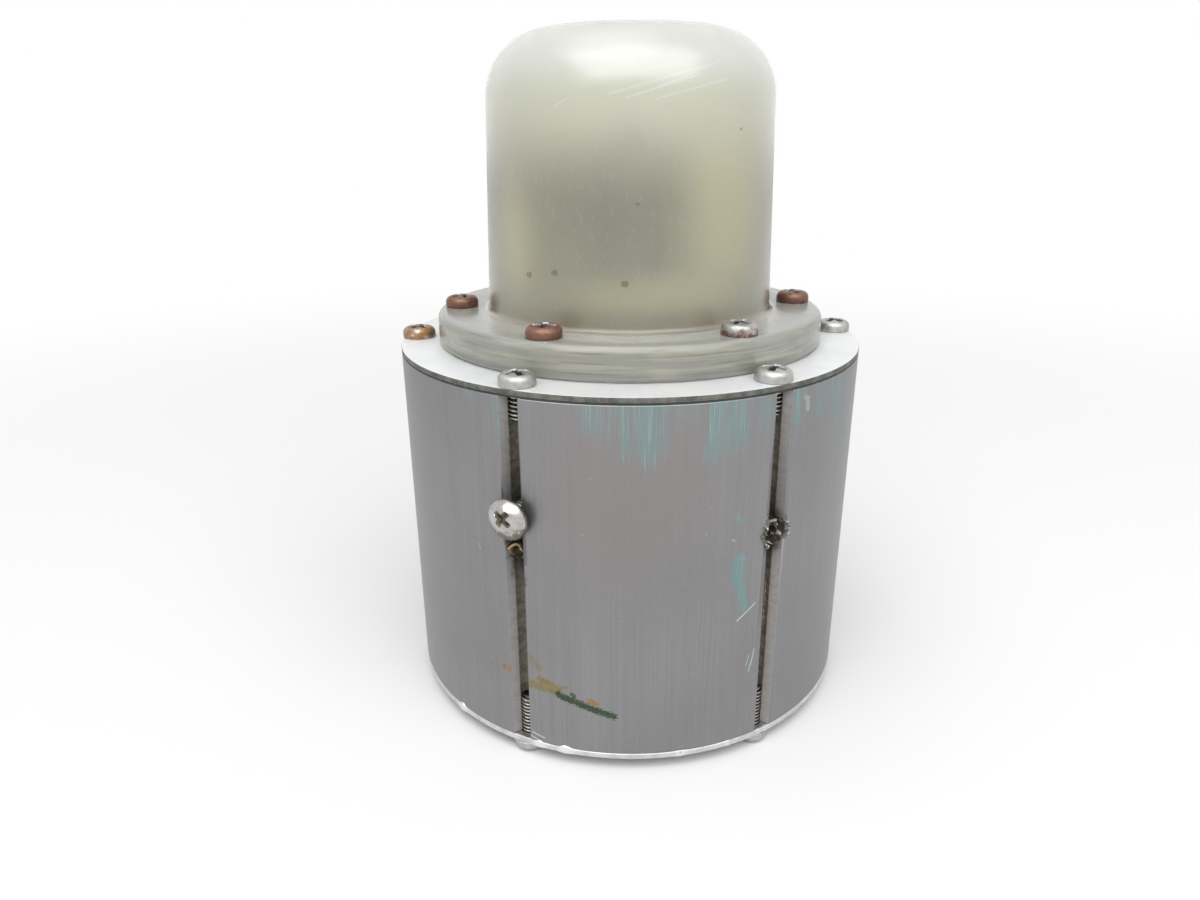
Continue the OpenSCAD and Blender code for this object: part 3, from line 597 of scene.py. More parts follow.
# Marks on the case, as strokes: angle and height where each starts and ends, its half width, and its strength.
TEAL_DRAGS = (
    (-102.6, 75, -102.3, 69.5, 1.7, 0.7), (-95.2, 75, -95.1, 65.2, 1.2, 0.9), (-89.8, 75, -90.4, 64.6, 2.2, 1.0),
    (-87.4, 75, -87.6, 67.5, 1.2, 0.8), (-83.0, 75, -82.3, 71.5, 2.4, 0.4), (-76.4, 75, -77.0, 64.0, 1.7, 1.0),
    (-72.4, 75, -71.6, 67.8, 2.5, 0.85), (-99.0, 75, -98.6, 70.5, 1.8, 0.45), (-66.6, 75, -66.0, 69.0, 1.3, 0.35),
    (-57.2, 75, -55.5, 66.8, 1.0, 0.9), (-54.4, 75, -53.4, 70.0, 0.6, 0.5), (-50.4, 75, -48.2, 68.0, 0.9, 0.8),
    (-46.8, 75, -45.0, 69.0, 1.0, 0.8), (-43.4, 75, -41.6, 68.0, 0.9, 0.8), (-40.8, 75, -38.2, 60.0, 0.8, 0.9),
    (-36.0, 75, -34.2, 66.0, 1.0, 0.7), (-32.0, 75, -30.2, 66.0, 0.9, 0.6), (-131.4, 74, -129.2, 71.9, 0.9, 0.6),
    (-123.5, 74, -122.6, 66.0, 0.9, 0.5), (-73.6, 75, -73.0, 67.5, 4.2, 0.5), (-91.0, 75, -90.6, 67.0, 4.6, 0.5),
    (-100.5, 75, -100.2, 70.0, 3.4, 0.35), (-64.4, 75, -63.8, 68.5, 1.2, 0.5),
)
TEAL_SCUFFS = (
    (-70.4, 52.0, -70.0, 51.2, 0.7, 0.7), (-69.5, 43.4, -69.8, 39.0, 1.25, 0.95),
    (-69.0, 38.0, -67.7, 33.2, 0.95, 0.85), (-64.2, 23.4, -65.3, 18.6, 0.4, 0.4),
    (-52.0, 15.0, -51.6, 12.0, 0.4, 0.6), (-74.6, 57.0, -74.4, 56.5, 0.4, 0.5),
)
WHITE_SCRATCHES = (
    (-64.6, 33.4, -69.2, 30.6, 0.16, 0.9), (-64.0, 23.2, -65.2, 18.6, 0.13, 0.8),
    (-65.4, 22.4, -66.2, 20.0, 0.1, 0.6), (-117.2, 5.7, -114.0, 5.0, 0.15, 1), (-118.0, 4.9, -115.2, 4.0, 0.15, 1),
    (-71.6, 47.6, -70.9, 47.2, 0.17, 0.5), (-53.8, 71.7, -52.6, 71.3, 0.5, 0.3),
    (-52.9, 71.2, -52.6, 69.4, 0.65, 0.4), (-130.0, 44.0, -129.6, 43.0, 0.14, 0.4),
    (-62.9, 50.5, -62.7, 46.0, 0.35, 0.5),
)
MUSTARD_SMEARS = (
    (-117.4, 16.9, -110.8, 16.6, 1.1, 0.7), (-114.4, 18.2, -110.4, 16.8, 1.1, 0.8),
    (-117.0, 22.5, -115.0, 20.8, 0.9, 0.4), (-111.5, 17.5, -108.1, 17.7, 0.3, 0.6),
)
GREEN_SMEARS = ((-110.2, 15.8, -97.4, 12.3, 0.85, 0.95), (-107.0, 16.3, -106.4, 16.0, 0.5, 0.8))
RUST_SPOTS = ((-124.2, 19.0, -122.2, 18.7, 0.62, 0.75), (-102.8, 15.2, -101.6, 14.9, 0.7, 0.8))
# Painted shade in the channel slits below the side screw's head and the stub, and in and below the empty hole.
SLIT_SHADES = (
    (-120.4, 47.2, -119.4, 38.5, 2.0, 0.9), (-117.4, 48.4, -117.3, 42.5, 0.5, 0.5),
    (-60.5, 49.6, -60.3, 44.0, 2.6, 0.6), (-61.0, 43.6, -61.0, 37.0, 0.9, 0.8),
)


def tube_finish():
    """Satin drawn aluminium with dragged paint, smears and scuffs, a warm painted reflection on its front, and painted
    light and shade, with some brown dirt, in the channels.
    """
    c, s = colours(), sizes()
    material, tree, shader = new_finish("tube_alloy", IOR=1.5)
    place = object_place(tree)
    spot = effect(tree, "round", vector=place)
    flat = spot["Flat"]
    grain = effect(tree, "grain", vector=place)["Value"]
    broad = noise(tree, place, 38.0, 3.0)
    satin = noise(tree, place, 2600.0, 3.0, 0.7)

    def unrolled_noise(across, up, detail, roughness):
        """Noise on the unrolled case, by how fast it changes across and up."""
        return noise(tree, stretched(tree, flat, across, up, 1), 1.0, detail, roughness)

    def strokes(rows, broken, raggedness, at=flat):
        """The strongest of a set of strokes at each place."""
        return strongest(tree, [scaled(tree, stroke(tree, at, row, broken, raggedness), strength)
                                for *row, strength in rows])

    streak = unrolled_noise(2.2, 0.03, 3.0, 0.65)
    ragged = unrolled_noise(1.1, 0.9, 4.0, 0.65)
    crumb = unrolled_noise(1.7, 2.6, 4.0, 0.75)
    drops = unrolled_noise(1.3, 0.0, 2.0, 0.7)
    hairs = unrolled_noise(7.0, 0.06, 2.0, 0.7)

    # Bare metal, with a warm painted reflection where it faces the front.
    metal = mottle(tree, grain, 0.3, 0.7, tint(c.tube_alloy, 0.92), tint(c.tube_alloy, 1.08))
    metal = over(tree, metal, ramp(tree, broad, 0.35, 0.75), tint(c.tube_alloy, 0.88), 0.7)
    metal = over(tree, metal, ramp(tree, satin, 0.42, 0.62), tint(c.tube_alloy, 1.22), 0.22)
    front_reflection = patch(tree, spot, (-94.0, 22.0, 58.0, 26.0), broad, 1.2)
    metal = over(tree, metal, front_reflection, tint((1.0, 0.89, 0.87), c.tube_alloy[0]), 0.6)

    # Paint: drags that hang to uneven lengths, scuffs, white scratches, smears and spots.
    shift = put(tree, "ShaderNodeCombineXYZ", {1: scaled(tree, drops, 16.0, -8.0)}).outputs[0]
    hung = put(tree, "ShaderNodeVectorMath", {0: flat, 1: shift}, operation="ADD").outputs[0]
    drags = scaled(tree, strokes(TEAL_DRAGS, streak, 2.2, hung), ramp(tree, hairs, 0.34, 0.66))
    scuffs = scaled(tree, strokes(TEAL_SCUFFS, crumb, 3.6), ramp(tree, crumb, 0.68, 0.42))
    teal = calc(tree, "MAXIMUM", drags, scuffs)
    metal = over(tree, metal, teal, mottle(tree, hairs, 0.50, 0.72, c.overspray, (0.34, 0.42, 0.42)), 0.8)
    metal = over(tree, metal, strokes(WHITE_SCRATCHES, crumb, 1.9), (0.56, 0.57, 0.565))
    paint = [teal]
    for rows, raggedness, low, high, one, other in (
            (MUSTARD_SMEARS, 3.4, 0.4, 0.6, c.mustard, tint(c.mustard, 0.7)),
            (GREEN_SMEARS, 3.0, 0.42, 0.62, c.dark_green, tint(c.dark_green, 0.45)),
            (RUST_SPOTS, 3.2, 0.42, 0.6, (0.24, 0.105, 0.018), (0.33, 0.175, 0.035))):
        paint.append(strokes(rows, crumb, raggedness))
        metal = over(tree, metal, paint[-1], mottle(tree, ragged, low, high, one, other))
    paint = strongest(tree, paint)
    metal = over(tree, metal, speckle(tree, place, 1300.0, 0.004), (0.50, 0.50, 0.49), 0.4)

    # Channels: painted light on their sloping walls and in their bores, which are mottled with brown dirt, and painted
    # shade below the side screw and the stub and in and below the empty hole.
    case, bore = s.case_radius / MM, s.channel_bore / MM
    # Painted light: the sloping walls of the mouths are lighter and duller than the case's metal.
    wall = scaled(tree, ramp(tree, spot["Radius"], case - 0.015, case - 0.125), ramp(tree, spot["Bore"], 3.95, 3.75))
    metal = over(tree, metal, wall, mottle(tree, ragged, 0.35, 0.7, (0.385, 0.37, 0.36), (0.315, 0.30, 0.285)), 0.9)
    # Painted light in the bores, mottled with brown dirt.
    inside = ramp(tree, spot["Bore"], bore + 0.25, bore + 0.05)
    metal = over(tree, metal, inside, mottle(tree, ragged, 0.35, 0.65, (0.38, 0.355, 0.31), (0.21, 0.185, 0.15)), 0.95)
    # Painted shade: near-black and dull in the slits under the side screw, the stub and the empty hole.
    slit_shade = strokes(SLIT_SHADES, ragged, 1.2)
    metal = over(tree, metal, slit_shade, (0.045, 0.034, 0.024))

    dull = strongest(tree, (paint, wall, slit_shade, inside))
    feed(tree, shader, base_color=metal, roughness=scaled(tree, grain, 0.14, scaled(tree, paint, 0.12, 0.36)),
         metallic=scaled(tree, dull, -0.75, 0.92))
    bumped(tree, shader, scaled(tree, paint, 0.5, grain), 0.16, 0.00005)
    return material


def thread_finish():
    """Screw thread: painted shade in its roots and bright on its crests, as marked on the mesh, with brown dirt over
    it.
    """
    material, tree, shader = new_finish("screw_thread", metallic=0.9)
    grime_and_shade = noise(tree, object_place(tree), 900.0, 4.0)
    # Painted shade: near-black in the thread's roots, lighter on its crests.
    tone = mottle(tree, mesh_mark(tree), 0.55, 0.95, (0.030, 0.028, 0.024), (0.44, 0.43, 0.40))
    tone = mottle(tree, grime_and_shade, 0.5, 0.75, tone, (0.10, 0.075, 0.05))
    feed(tree, shader, base_color=tone, roughness=scaled(tree, grime_and_shade, 0.2, 0.3))
    bumped(tree, shader, grime_and_shade, 0.2, 0.00005)
    return material


def metal_finish(name, base, rough=0.4, metallic=0.95, spots=0.12, spot_colour=None):
    """Sheet or plated metal: mottled, with spots, scratches and a fine bump."""
    material, tree, shader = new_finish(name, metallic=metallic)
    place = object_place(tree)
    cloud = noise(tree, place, 160.0, 5.0, 0.6)
    fine = noise(tree, place, 2200.0, 3.0)
    face = mottle(tree, cloud, 0.3, 0.7, tint(base, 0.88), tint(base, 1.08))
    dots = speckle(tree, place, 520.0, spots)
    face = over(tree, face, dots, spot_colour or tint(base, 0.5), 0.5)
    lines = effect(tree, "scratches", vector=stretched(tree, place, 1, 0.25, 0.6), scale=140.0)["Mask"]
    face = over(tree, face, lines, tint(base, 1.3), 0.35)
    feed(tree, shader, base_color=face, roughness=scaled(tree, cloud, 0.22, scaled(tree, dots, 0.15, rough - 0.11)))
    bumped(tree, shader, scaled(tree, dots, -0.5, fine), 0.15, 0.00004)
    return material


def plate_finish():
    """Pale rolled sheet, even on its face, with painted shade on its sheared edge."""
    c, case = colours(), sizes().case_radius / MM
    material, tree, shader = new_finish("plate_alloy")
    place = object_place(tree)
    cloud = noise(tree, place, 120.0, 4.0, 0.6)
    rolled = noise(tree, stretched(tree, place, 1500, 90, 90), 1.0, 2.0)
    face = mottle(tree, cloud, 0.3, 0.7, tint(c.plate_alloy, 0.96), tint(c.plate_alloy, 1.03))
    dots = speckle(tree, place, 650.0, 0.03)
    face = over(tree, face, dots, tint(c.plate_alloy, 0.6), 0.35)
    # Painted shade: a mottled near-black round the plate's edge.
    edge = ramp(tree, effect(tree, "round", vector=place)["Radius"], case - 0.125, case - 0.025)
    torn = noise(tree, place, 500.0, 4.0, 0.7)
    cut = mottle(tree, torn, 0.35, 0.65, (0.085, 0.084, 0.07), (0.17, 0.172, 0.152))
    feed(tree, shader, base_color=mix(tree, edge, face, cut), metallic=scaled(tree, edge, 0.1, 0.4),
         roughness=scaled(tree, rolled, 0.12, 0.46))
    bumped(tree, shader, scaled(tree, dots, -0.4, rolled), 0.10, 0.00004)
    return material


def screw_finish(name, base, rust_colour, flare, share=1.0, rough=0.36, grime_and_shade=(0.045, 0.043, 0.045)):
    """Plated screw whose rust grows with the mark on its mesh, and whose recess gets painted shade where the mark is
    below 0.
    """
    material, tree, shader = new_finish(name)
    place = object_place(tree)
    mark = mesh_mark(tree)
    amount = scaled(tree, calc(tree, "MAXIMUM", mark, 0.0), share)
    rust = effect(tree, "rust", vector=place, amount=amount, colour=(*rust_colour, 1), flare=(*flare, 1))
    cloud = noise(tree, place, 700.0, 4.0)
    face = mottle(tree, cloud, 0.3, 0.7, tint(base, 0.80), tint(base, 1.06))
    face = mix(tree, rust["Mask"], face, rust["Colour"])
    # Painted shade in the recess: a darker, dull colour where the mark falls below 0.
    packed = ramp(tree, mark, -0.15, -0.9)
    face = mix(tree, packed, face, mottle(tree, cloud, 0.4, 0.6, tint(grime_and_shade, 0.5), grime_and_shade))
    value = scaled(tree, packed, 0.3, scaled(tree, cloud, 0.16, rough - 0.08))
    shine = scaled(tree, packed, -0.9, scaled(tree, rust["Mask"], -0.25, 0.95))
    feed(tree, shader, base_color=face, roughness=scaled(tree, rust["Mask"], 0.08, value), metallic=shine)
    bumped(tree, shader, scaled(tree, rust["Height"], 0.8, scaled(tree, cloud, 0.3)), 0.25, 0.00008)
    return material


def edge_finish(name, base, bright=(0.80, 0.79, 0.78), metallic=0.9):
    """Metal that is brighter where the mesh is marked: torn or rubbed metal, and a painted highlight on the stub's rim.
    """
    material, tree, shader = new_finish(name, metallic=metallic)
    place = object_place(tree)
    cloud = noise(tree, place, 420.0, 5.0, 0.65)
    face = mottle(tree, cloud, 0.3, 0.7, tint(base, 0.85), tint(base, 1.1))
    face = mottle(tree, scaled(tree, cloud, 0.4, mesh_mark(tree)), 0.4, 1.0, face, bright)
    dots = speckle(tree, place, 900.0, 0.10)
    face = over(tree, face, dots, tint(base, 0.4), 0.5)
    feed(tree, shader, base_color=face, roughness=scaled(tree, cloud, 0.3, 0.22))
    bumped(tree, shader, scaled(tree, dots, -0.6, cloud), 0.35, 0.00008)
    return material


def plastic_finish(name, base, rough=0.45, mottling=0.12, spots=0.04, bump=0.12, scale=240.0, bands=()):
    """Moulded or dipped plastic, rubber, ceramic or laminate: mottled, dusty, with a fine bump, and with bands of
    other colours where the mesh is marked 1, 2 and so on."""
    material, tree, shader = new_finish(name)
    place = object_place(tree)
    cloud = noise(tree, place, scale, 4.0, 0.6)
    fine = noise(tree, place, scale * 9, 3.0)
    face = mottle(tree, cloud, 0.25, 0.75, tint(base, 1 - mottling), tint(base, 1 + mottling))
    for number, band in enumerate(bands):
        face = mix(tree, calc(tree, "GREATER_THAN", mesh_mark(tree), number + 0.5), face, band)
    face = over(tree, face, speckle(tree, place, scale * 4, spots), (0.42, 0.40, 0.37), 0.4)
    feed(tree, shader, base_color=face, roughness=scaled(tree, cloud, 0.2, rough - 0.1))
    bumped(tree, shader, fine, bump, 0.00005)
    return material


# Dots on the dome: angle, height and half width.
DOME_DOTS = (
    (-134.0, 90.9, 0.6), (-122.2, 91.7, 0.6), (-96.0, 90.2, 0.6), (-91.7, 103.8, 0.3), (-50.9, 115.9, 0.3),
    (40.0, 101.0, 0.55), (150.0, 96.0, 0.5),
)
# Scratches on the dome's shoulder: angle and height where each starts and ends.
DOME_SCRATCHES = (
    (-102, 121.4, -64, 126.2), (-96, 120.8, -70, 124.4), (-86, 120.6, -58, 123.9), (-84, 122.6, -60, 126.8),
    (-122, 119.5, -116, 121.0), (20, 120.5, 58, 124.0), (140, 118.0, 166, 122.5),
)
# Yellowed patches of the dome, some of them painted light on its lit right side, its left edge and low on its front:
# middle and half width in degrees, middle and half height in millimetres.
DOME_YELLOWING_AND_LIGHT = (
    (-57.0, 23.0, 104.0, 22.0), (-92.0, 36.0, 88.0, 4.5), (-142.0, 12.0, 97.0, 13.0), (35.0, 24.0, 100.0, 22.0),
    (110.0, 20.0, 106.0, 18.0),
)
# Painted shade: darker places on the dome's front and back, standing for its dark inside, given the same way.
DOME_PAINTED_SHADES = ((-106.0, 37.0, 103.5, 17.5), (95.0, 30.0, 101.0, 12.0))


def dome_finish():
    """Yellowed clear plastic, hazed all over, paler towards its shoulder and crown as painted light, with lighter
    patches, partly painted light, and painted shade on its front and back, browner at its root, with scratches and
    dots.
    """
    c = colours()
    material, tree, shader = new_finish("dome_haze_and_light", IOR=1.49, transmission_weight=0.70, coat_weight=1.0,
                                        coat_roughness=0.24)
    place = object_place(tree)
    spot = effect(tree, "round", vector=place)
    height, flat = spot["Height"], spot["Flat"]
    cloud = noise(tree, stretched(tree, place, 1, 1, 0.6), 34.0, 3.0, 0.55)
    fleck = noise(tree, stretched(tree, place, 1, 1, 0.5), 1300.0, 1.0)
    broken = noise(tree, place, 900.0, 2.0)
    tone = over(tree, c.dome_grey, ramp(tree, cloud, 0.40, 0.66), c.dome_haze_and_light, 0.35)
    # Yellowed patches, partly painted light, then darker patches of painted shade.
    for rows, above, share in ((DOME_YELLOWING_AND_LIGHT, c.dome_haze_and_light, 0.75), (DOME_PAINTED_SHADES, tint(c.dome_grey, 0.74), 0.72)):
        for row in rows:
            tone = over(tree, tone, patch(tree, spot, row, cloud, 0.6), above, share)
    # Painted light: paler from the shoulder up and palest at the crown; then browner at the root, and pale flecks.
    for value, low, high, above, share in (
            (height, 103.0, 122.0, (0.84, 0.85, 0.72), 1.0), (height, 121.0, 128.0, (0.91, 0.92, 0.87), 1.0),
            (height, 86.0, 82.0, (0.58, 0.47, 0.33), 0.3), (fleck, 0.56, 0.76, (0.82, 0.81, 0.74), 0.17)):
        tone = over(tree, tone, ramp(tree, value, low, high), above, share)
    for row in DOME_SCRATCHES:
        tone = over(tree, tone, stroke(tree, flat, (*row, 0.16), broken, 1.6), (1.0, 1.0, 0.98), 0.85)
    dots = strongest(tree, [stroke(tree, flat, (turn - wide / ARC, z, turn + wide / ARC, z, wide), broken, 1.4)
                            for turn, z, wide in DOME_DOTS])
    tone = over(tree, tone, dots, (0.26, 0.175, 0.035), 0.75)
    feed(tree, shader, base_color=tone, roughness=scaled(tree, cloud, 0.06, 0.285))
    bumped(tree, shader, cloud, 0.05, 0.0002)
    return material


def flange_finish():
    """Clear, faintly green, cloudy plastic, with pale and dark bands painted as reflections and a paler top as painted
    light.
    """
    tone = colours().flange_tint
    dim, cloudy = tint(tone, 0.62), tint(tone, 0.80)
    material, tree, shader = new_finish("flange_clear", IOR=1.49, transmission_weight=0.62)
    place = object_place(tree)
    spot = effect(tree, "round", vector=place)
    bands = noise(tree, stretched(tree, spot["Flat"], 0.04, 0.9, 1), 1.0, 3.0, 0.6)
    dark = noise(tree, stretched(tree, spot["Flat"], 0.05, 1.7, 1), 1.0, 2.0, 0.6)
    cloud = noise(tree, place, 90.0, 4.0)
    # Painted reflections: pale and dark horizontal bands; then random cloudiness, and a paler top as painted light.
    for value, low, high, above, share in (
            (bands, 0.45, 0.60, (0.74, 0.73, 0.61), 1.0), (dark, 0.52, 0.66, dim, 0.6),
            (cloud, 0.5, 0.75, cloudy, 0.6), (spot["Height"], 80.7, 81.25, (0.72, 0.73, 0.69), 1.0)):
        tone = over(tree, tone, ramp(tree, value, low, high), above, share)
    feed(tree, shader, base_color=tone, roughness=scaled(tree, cloud, 0.10, 0.15))
    bumped(tree, shader, scaled(tree, bands, 0.6, cloud), 0.10, 0.0001)
    return material


def glass_finish():
    """Clear glass, faintly smoked near its electrodes."""
    material, tree, shader = new_finish("clear_glass", IOR=1.47, transmission_weight=1.0)
    place = object_place(tree)
    height = effect(tree, "round", vector=place)["Height"]
    smoke = scaled(tree, ramp(tree, height, 104.0, 92.0), noise(tree, place, 300.0, 3.0))
    tone = mix(tree, smoke, (0.93, 0.95, 0.95), (0.55, 0.52, 0.48))
    feed(tree, shader, base_color=tone, roughness=scaled(tree, smoke, 0.25, 0.02))
    return material


# Finishes by record slot: how each is made, its colour and its other settings.
RECORD_FINISHES = {
    "black_rubber": (plastic_finish, (0.030, 0.029, 0.028), 0.62, 0.3, 0.10, 0.25, 500.0),
    "pale_gasket": (plastic_finish, (0.46, 0.46, 0.41), 0.40, 0.10, 0.05, 0.12, 500.0),
    "phenolic": (plastic_finish, (0.24, 0.12, 0.050), 0.40, 0.22, 0.05),
    "pale_ceramic": (plastic_finish, (0.76, 0.73, 0.64), 0.55, 0.08, 0.05),
    "contact_brass": (metal_finish, (0.58, 0.42, 0.16), 0.34, 1.0, 0.10),
    "board_laminate": (plastic_finish, (0.30, 0.19, 0.060), 0.38, 0.2, 0.05, 0.1, 420.0),
    "lead_sleeve": (plastic_finish, (0.42, 0.035, 0.025), 0.38, 0.12, 0.06),
    "capacitor_sleeve": (plastic_finish, (0.020, 0.060, 0.22), 0.28, 0.14, 0.05, 0.1, 240.0, ((0.46, 0.50, 0.58),)),
    "clamp_alloy": (metal_finish, (0.62, 0.62, 0.63), 0.36, 1.0, 0.08),
    "core_ferrite": (plastic_finish, (0.045, 0.043, 0.042), 0.55, 0.3, 0.08, 0.3, 420.0),
    "bobbin_nylon": (plastic_finish, (0.68, 0.63, 0.50), 0.45, 0.08, 0.05),
    "winding_tape": (plastic_finish, (0.58, 0.38, 0.055), 0.30, 0.16, 0.05, 0.12, 240.0, ((0.40, 0.25, 0.035),)),
    "sink_alloy": (metal_finish, (0.055, 0.057, 0.060), 0.42, 0.6, 0.06, (0.3, 0.3, 0.3)),
    "transistor_epoxy": (plastic_finish, (0.022, 0.022, 0.024), 0.45, 0.25, 0.06, 0.25, 600.0, ((0.48, 0.48, 0.47),)),
    "coil_wax": (plastic_finish, (0.36, 0.16, 0.040), 0.26, 0.25, 0.03, 0.2, 600.0),
    "film_case": (plastic_finish, (0.40, 0.050, 0.032), 0.24, 0.12, 0.04),
    "resistor_body": (plastic_finish, (0.46, 0.30, 0.15), 0.34, 0.12, 0.03, 0.1, 400.0,
                      ((0.085, 0.028, 0.012), (0.012, 0.012, 0.012), (0.36, 0.025, 0.018), (0.42, 0.28, 0.06))),
    "block_plastic": (plastic_finish, (0.035, 0.16, 0.065), 0.40, 0.12, 0.05),
    "dark_metal": (metal_finish, (0.15, 0.145, 0.14), 0.45, 0.9, 0.15),
    "tinned_wire": (metal_finish, (0.56, 0.55, 0.51), 0.34, 1.0, 0.06),
    "zinc_steel": (metal_finish, (0.50, 0.50, 0.485), 0.40, 0.95, 0.10),
}


def record_finish(slot):
    """The finish of a record slot, made when it is first asked for."""
    name = slot + "_finish"
    if name not in bpy.data.materials:
        make, *settings = RECORD_FINISHES[slot]
        make(name, *settings)
    return bpy.data.materials[name]


# Pieces


def tube_outline(s):
    """Half a sector of the tube's section, outer and inner path with as many points each, from a channel outwards.

    Outer: back of the bore, its side, the mouth's sloping wall, a rounded lip and the tube's arc.
    Inner: the boss's flat, its corner and side, and the tube's inside arc.
    """
    lip, corner, half_turn = 0.28 * MM, 0.5 * MM, SIXTH / 2
    deep = s.case_radius - s.slit_depth
    slope = (s.mouth_width - s.slit_width) / 2 / s.slit_depth
    # Half the slit's width where its sloping walls meet the bore.
    meet_width = 1.141 * MM
    meet = math.degrees(math.asin(meet_width / s.channel_bore))
    bore = arc((s.channel_radius, 0), s.channel_bore, 180, meet, 15)
    lip_x = s.case_radius - lip
    wall_x = np.linspace(bore[-1, 0] + 0.1 * MM, lip_x - 0.3 * MM, 4)
    wall = np.stack([wall_x, s.slit_width / 2 + (wall_x - deep) * slope], axis=1)
    start = s.mouth_width / 2 - lip * slope
    bend = np.radians(np.linspace(0, 66, 6))
    edge = np.stack([lip_x + np.sin(bend) * lip, start + (1 - np.cos(bend)) * lip], axis=1)
    edge *= np.minimum(1, s.case_radius / np.hypot(edge[:, 0], edge[:, 1]))[:, None]
    first = math.degrees(math.atan2(edge[-1, 1], edge[-1, 0])) + 0.3
    outer = chain(bore, wall, edge, arc((0, 0), s.case_radius, first, half_turn, 20))
    inside = s.case_radius - s.tube_wall
    half = s.boss_width / 2
    boss = chain(np.linspace((s.boss_radius, 0), (s.boss_radius, half - corner), 8),
                 arc((s.boss_radius + corner, half - corner), corner, 180, 90, 7)[1:])
    side = np.linspace((boss[-1, 0], half), (math.sqrt(inside ** 2 - half ** 2), half), 12)[1:]
    rest = arc((0, 0), inside, math.degrees(math.asin(half / inside)), half_turn, 21)[1:]
    return outer, chain(boss, side, rest)


def whole_outline(half):
    """Mirrors half a sector and repeats it round the axis, without its double points."""
    sector = chain(half[:0:-1] * (1, -1), half[:-1])
    turns = full_turn(CHANNELS)[:, None]
    c, s = np.cos(turns), np.sin(turns)
    x, y = sector[:, 0], sector[:, 1]
    return np.stack([x * c - y * s, x * s + y * c], axis=-1).reshape(-1, 2)


def inset(loop, distance):
    """Moves a closed path to the left of its direction."""
    ahead = np.roll(loop, -1, axis=0) - np.roll(loop, 1, axis=0)
    ahead /= np.linalg.norm(ahead, axis=1, keepdims=True)
    return loop + distance * np.stack([-ahead[:, 1], ahead[:, 0]], axis=1)


def raised(loop, z):
    """Gives a flat path a height."""
    return np.concatenate([loop, np.full((len(loop), 1), z)], axis=1)


def channel_place(turn, radius, z):
    """A point in a channel's middle plane."""
    a = math.radians(turn)
    return np.array([radius * math.cos(a), radius * math.sin(a), z])


def drill(obj, turn, z, radius, depth):
    """Cuts a round hole into the case from its outside in a channel, and keeps the result as the mesh."""
    direction, past = channel_place(turn, 1, 0), 4 * MM
    origin = direction * sizes().case_radius + (0, 0, z)
    run = chain((0, -depth), (radius, -depth), (radius, past), (0, past))
    cutter = bpy.data.objects.new("drill", Skin().grid(aimed(revolve(run, 40), origin, direction)).mesh("drill", 30))
    bpy.context.scene.collection.objects.link(cutter)
    modifier = obj.modifiers.new("hole", "BOOLEAN")
    modifier.object, modifier.operation, modifier.solver = cutter, "DIFFERENCE", "EXACT"
    bpy.context.view_layer.update()
    cut = bpy.data.meshes.new_from_object(obj.evaluated_get(bpy.context.evaluated_depsgraph_get()))
    obj.modifiers.clear()
    obj.data, old = cut, obj.data
    bpy.data.meshes.remove(old)
    bpy.data.objects.remove(cutter)


# Side holes of the case: the channel that each is in, and its height.
SIDE_SCREW_TURN, EMPTY_HOLE_TURN = 240, 300
SIDE_SCREW_Z, STUB_Z, EMPTY_HOLE_Z = 51.3 * MM, 44.0 * MM, 46.9 * MM
# Turn, height, radius and depth of each cut.
SIDE_HOLES = (
    (SIDE_SCREW_TURN, SIDE_SCREW_Z, 2.1 * MM, 7.5 * MM), (SIDE_SCREW_TURN, STUB_Z, 1.75 * MM, 7.5 * MM),
    (EMPTY_HOLE_TURN, EMPTY_HOLE_Z, 2.6 * MM, 5.0 * MM), (EMPTY_HOLE_TURN, EMPTY_HOLE_Z, 2.1 * MM, 7.5 * MM),
)


class BEACON_OT_tube(bpy.types.Operator):
    """Extruded case: the section's two paths carried up Z, closed by ruled ends, with its side holes cut"""

    bl_idname = "beacon.tube"
    bl_label = "Extruded case"

    def execute(self, context):
        outer, inner = (whole_outline(half) for half in tube_outline(sizes()))
        low, high = foot("body_tube"), top("body_tube")
        chamfer = 0.15 * MM
        skin = Skin()
        for loop, way in ((outer, 1), (inner, -1)):
            rows = ((low, chamfer), (low + chamfer, 0), (high - chamfer, 0), (high, chamfer))
            skin.grid(np.stack([raised(inset(loop, way * by), z) for z, by in rows], axis=1))
        for z in (low, high):
            skin.grid(np.stack([raised(inset(outer, chamfer), z), raised(inset(inner, -chamfer), z)], axis=1))
        obj = piece("body_tube_shell", skin, [tube_finish()], "case", ["body_tube"])
        for hole in SIDE_HOLES:
            drill(obj, *hole)
        return {"FINISHED"}


def ripple(angle, rows, seed):
    """Sum of sine waves with fixed random phases, as fine unevenness round an edge."""
    rng = np.random.default_rng(seed)
    waves = rng.integers(9, 130, rows)
    return np.sin(np.multiply.outer(angle, waves) + rng.uniform(0, TAU, rows)).mean(axis=-1)


def bumps(angle, rows):
    """Sum of bell curves over an angle in degrees: each has a middle, a width and a height."""
    middle, width, height = np.transpose(rows)
    away = (np.degrees(angle)[:, None] - middle + 180) % 360 - 180
    return (np.exp(-(away / width) ** 2) * height).sum(axis=1)


def crumple(shape, seed):
    """Fixed random values on a grid, each averaged with its neighbours, as lumps from about -1 to 1."""
    lumps = np.random.default_rng(seed).normal(0, 1.6, shape)
    for axis in (0, 1):
        lumps = (np.roll(lumps, 1, axis) + 2 * lumps + np.roll(lumps, -1, axis)) / 4
    return lumps


# Burrs on the base plate's rim: angle, width in degrees and height.
RIM_BURRS = (
    (-140.1, 1.0, 1.0), (-115.3, 1.2, 0.5), (-109.2, 1.0, 0.75), (-107.6, 0.7, 0.4), (-81.9, 0.9, 0.35),
    (-70.0, 0.6, 0.25), (25.0, 0.9, 0.5), (96.0, 1.3, 0.4), (160.0, 0.8, 0.5),
)


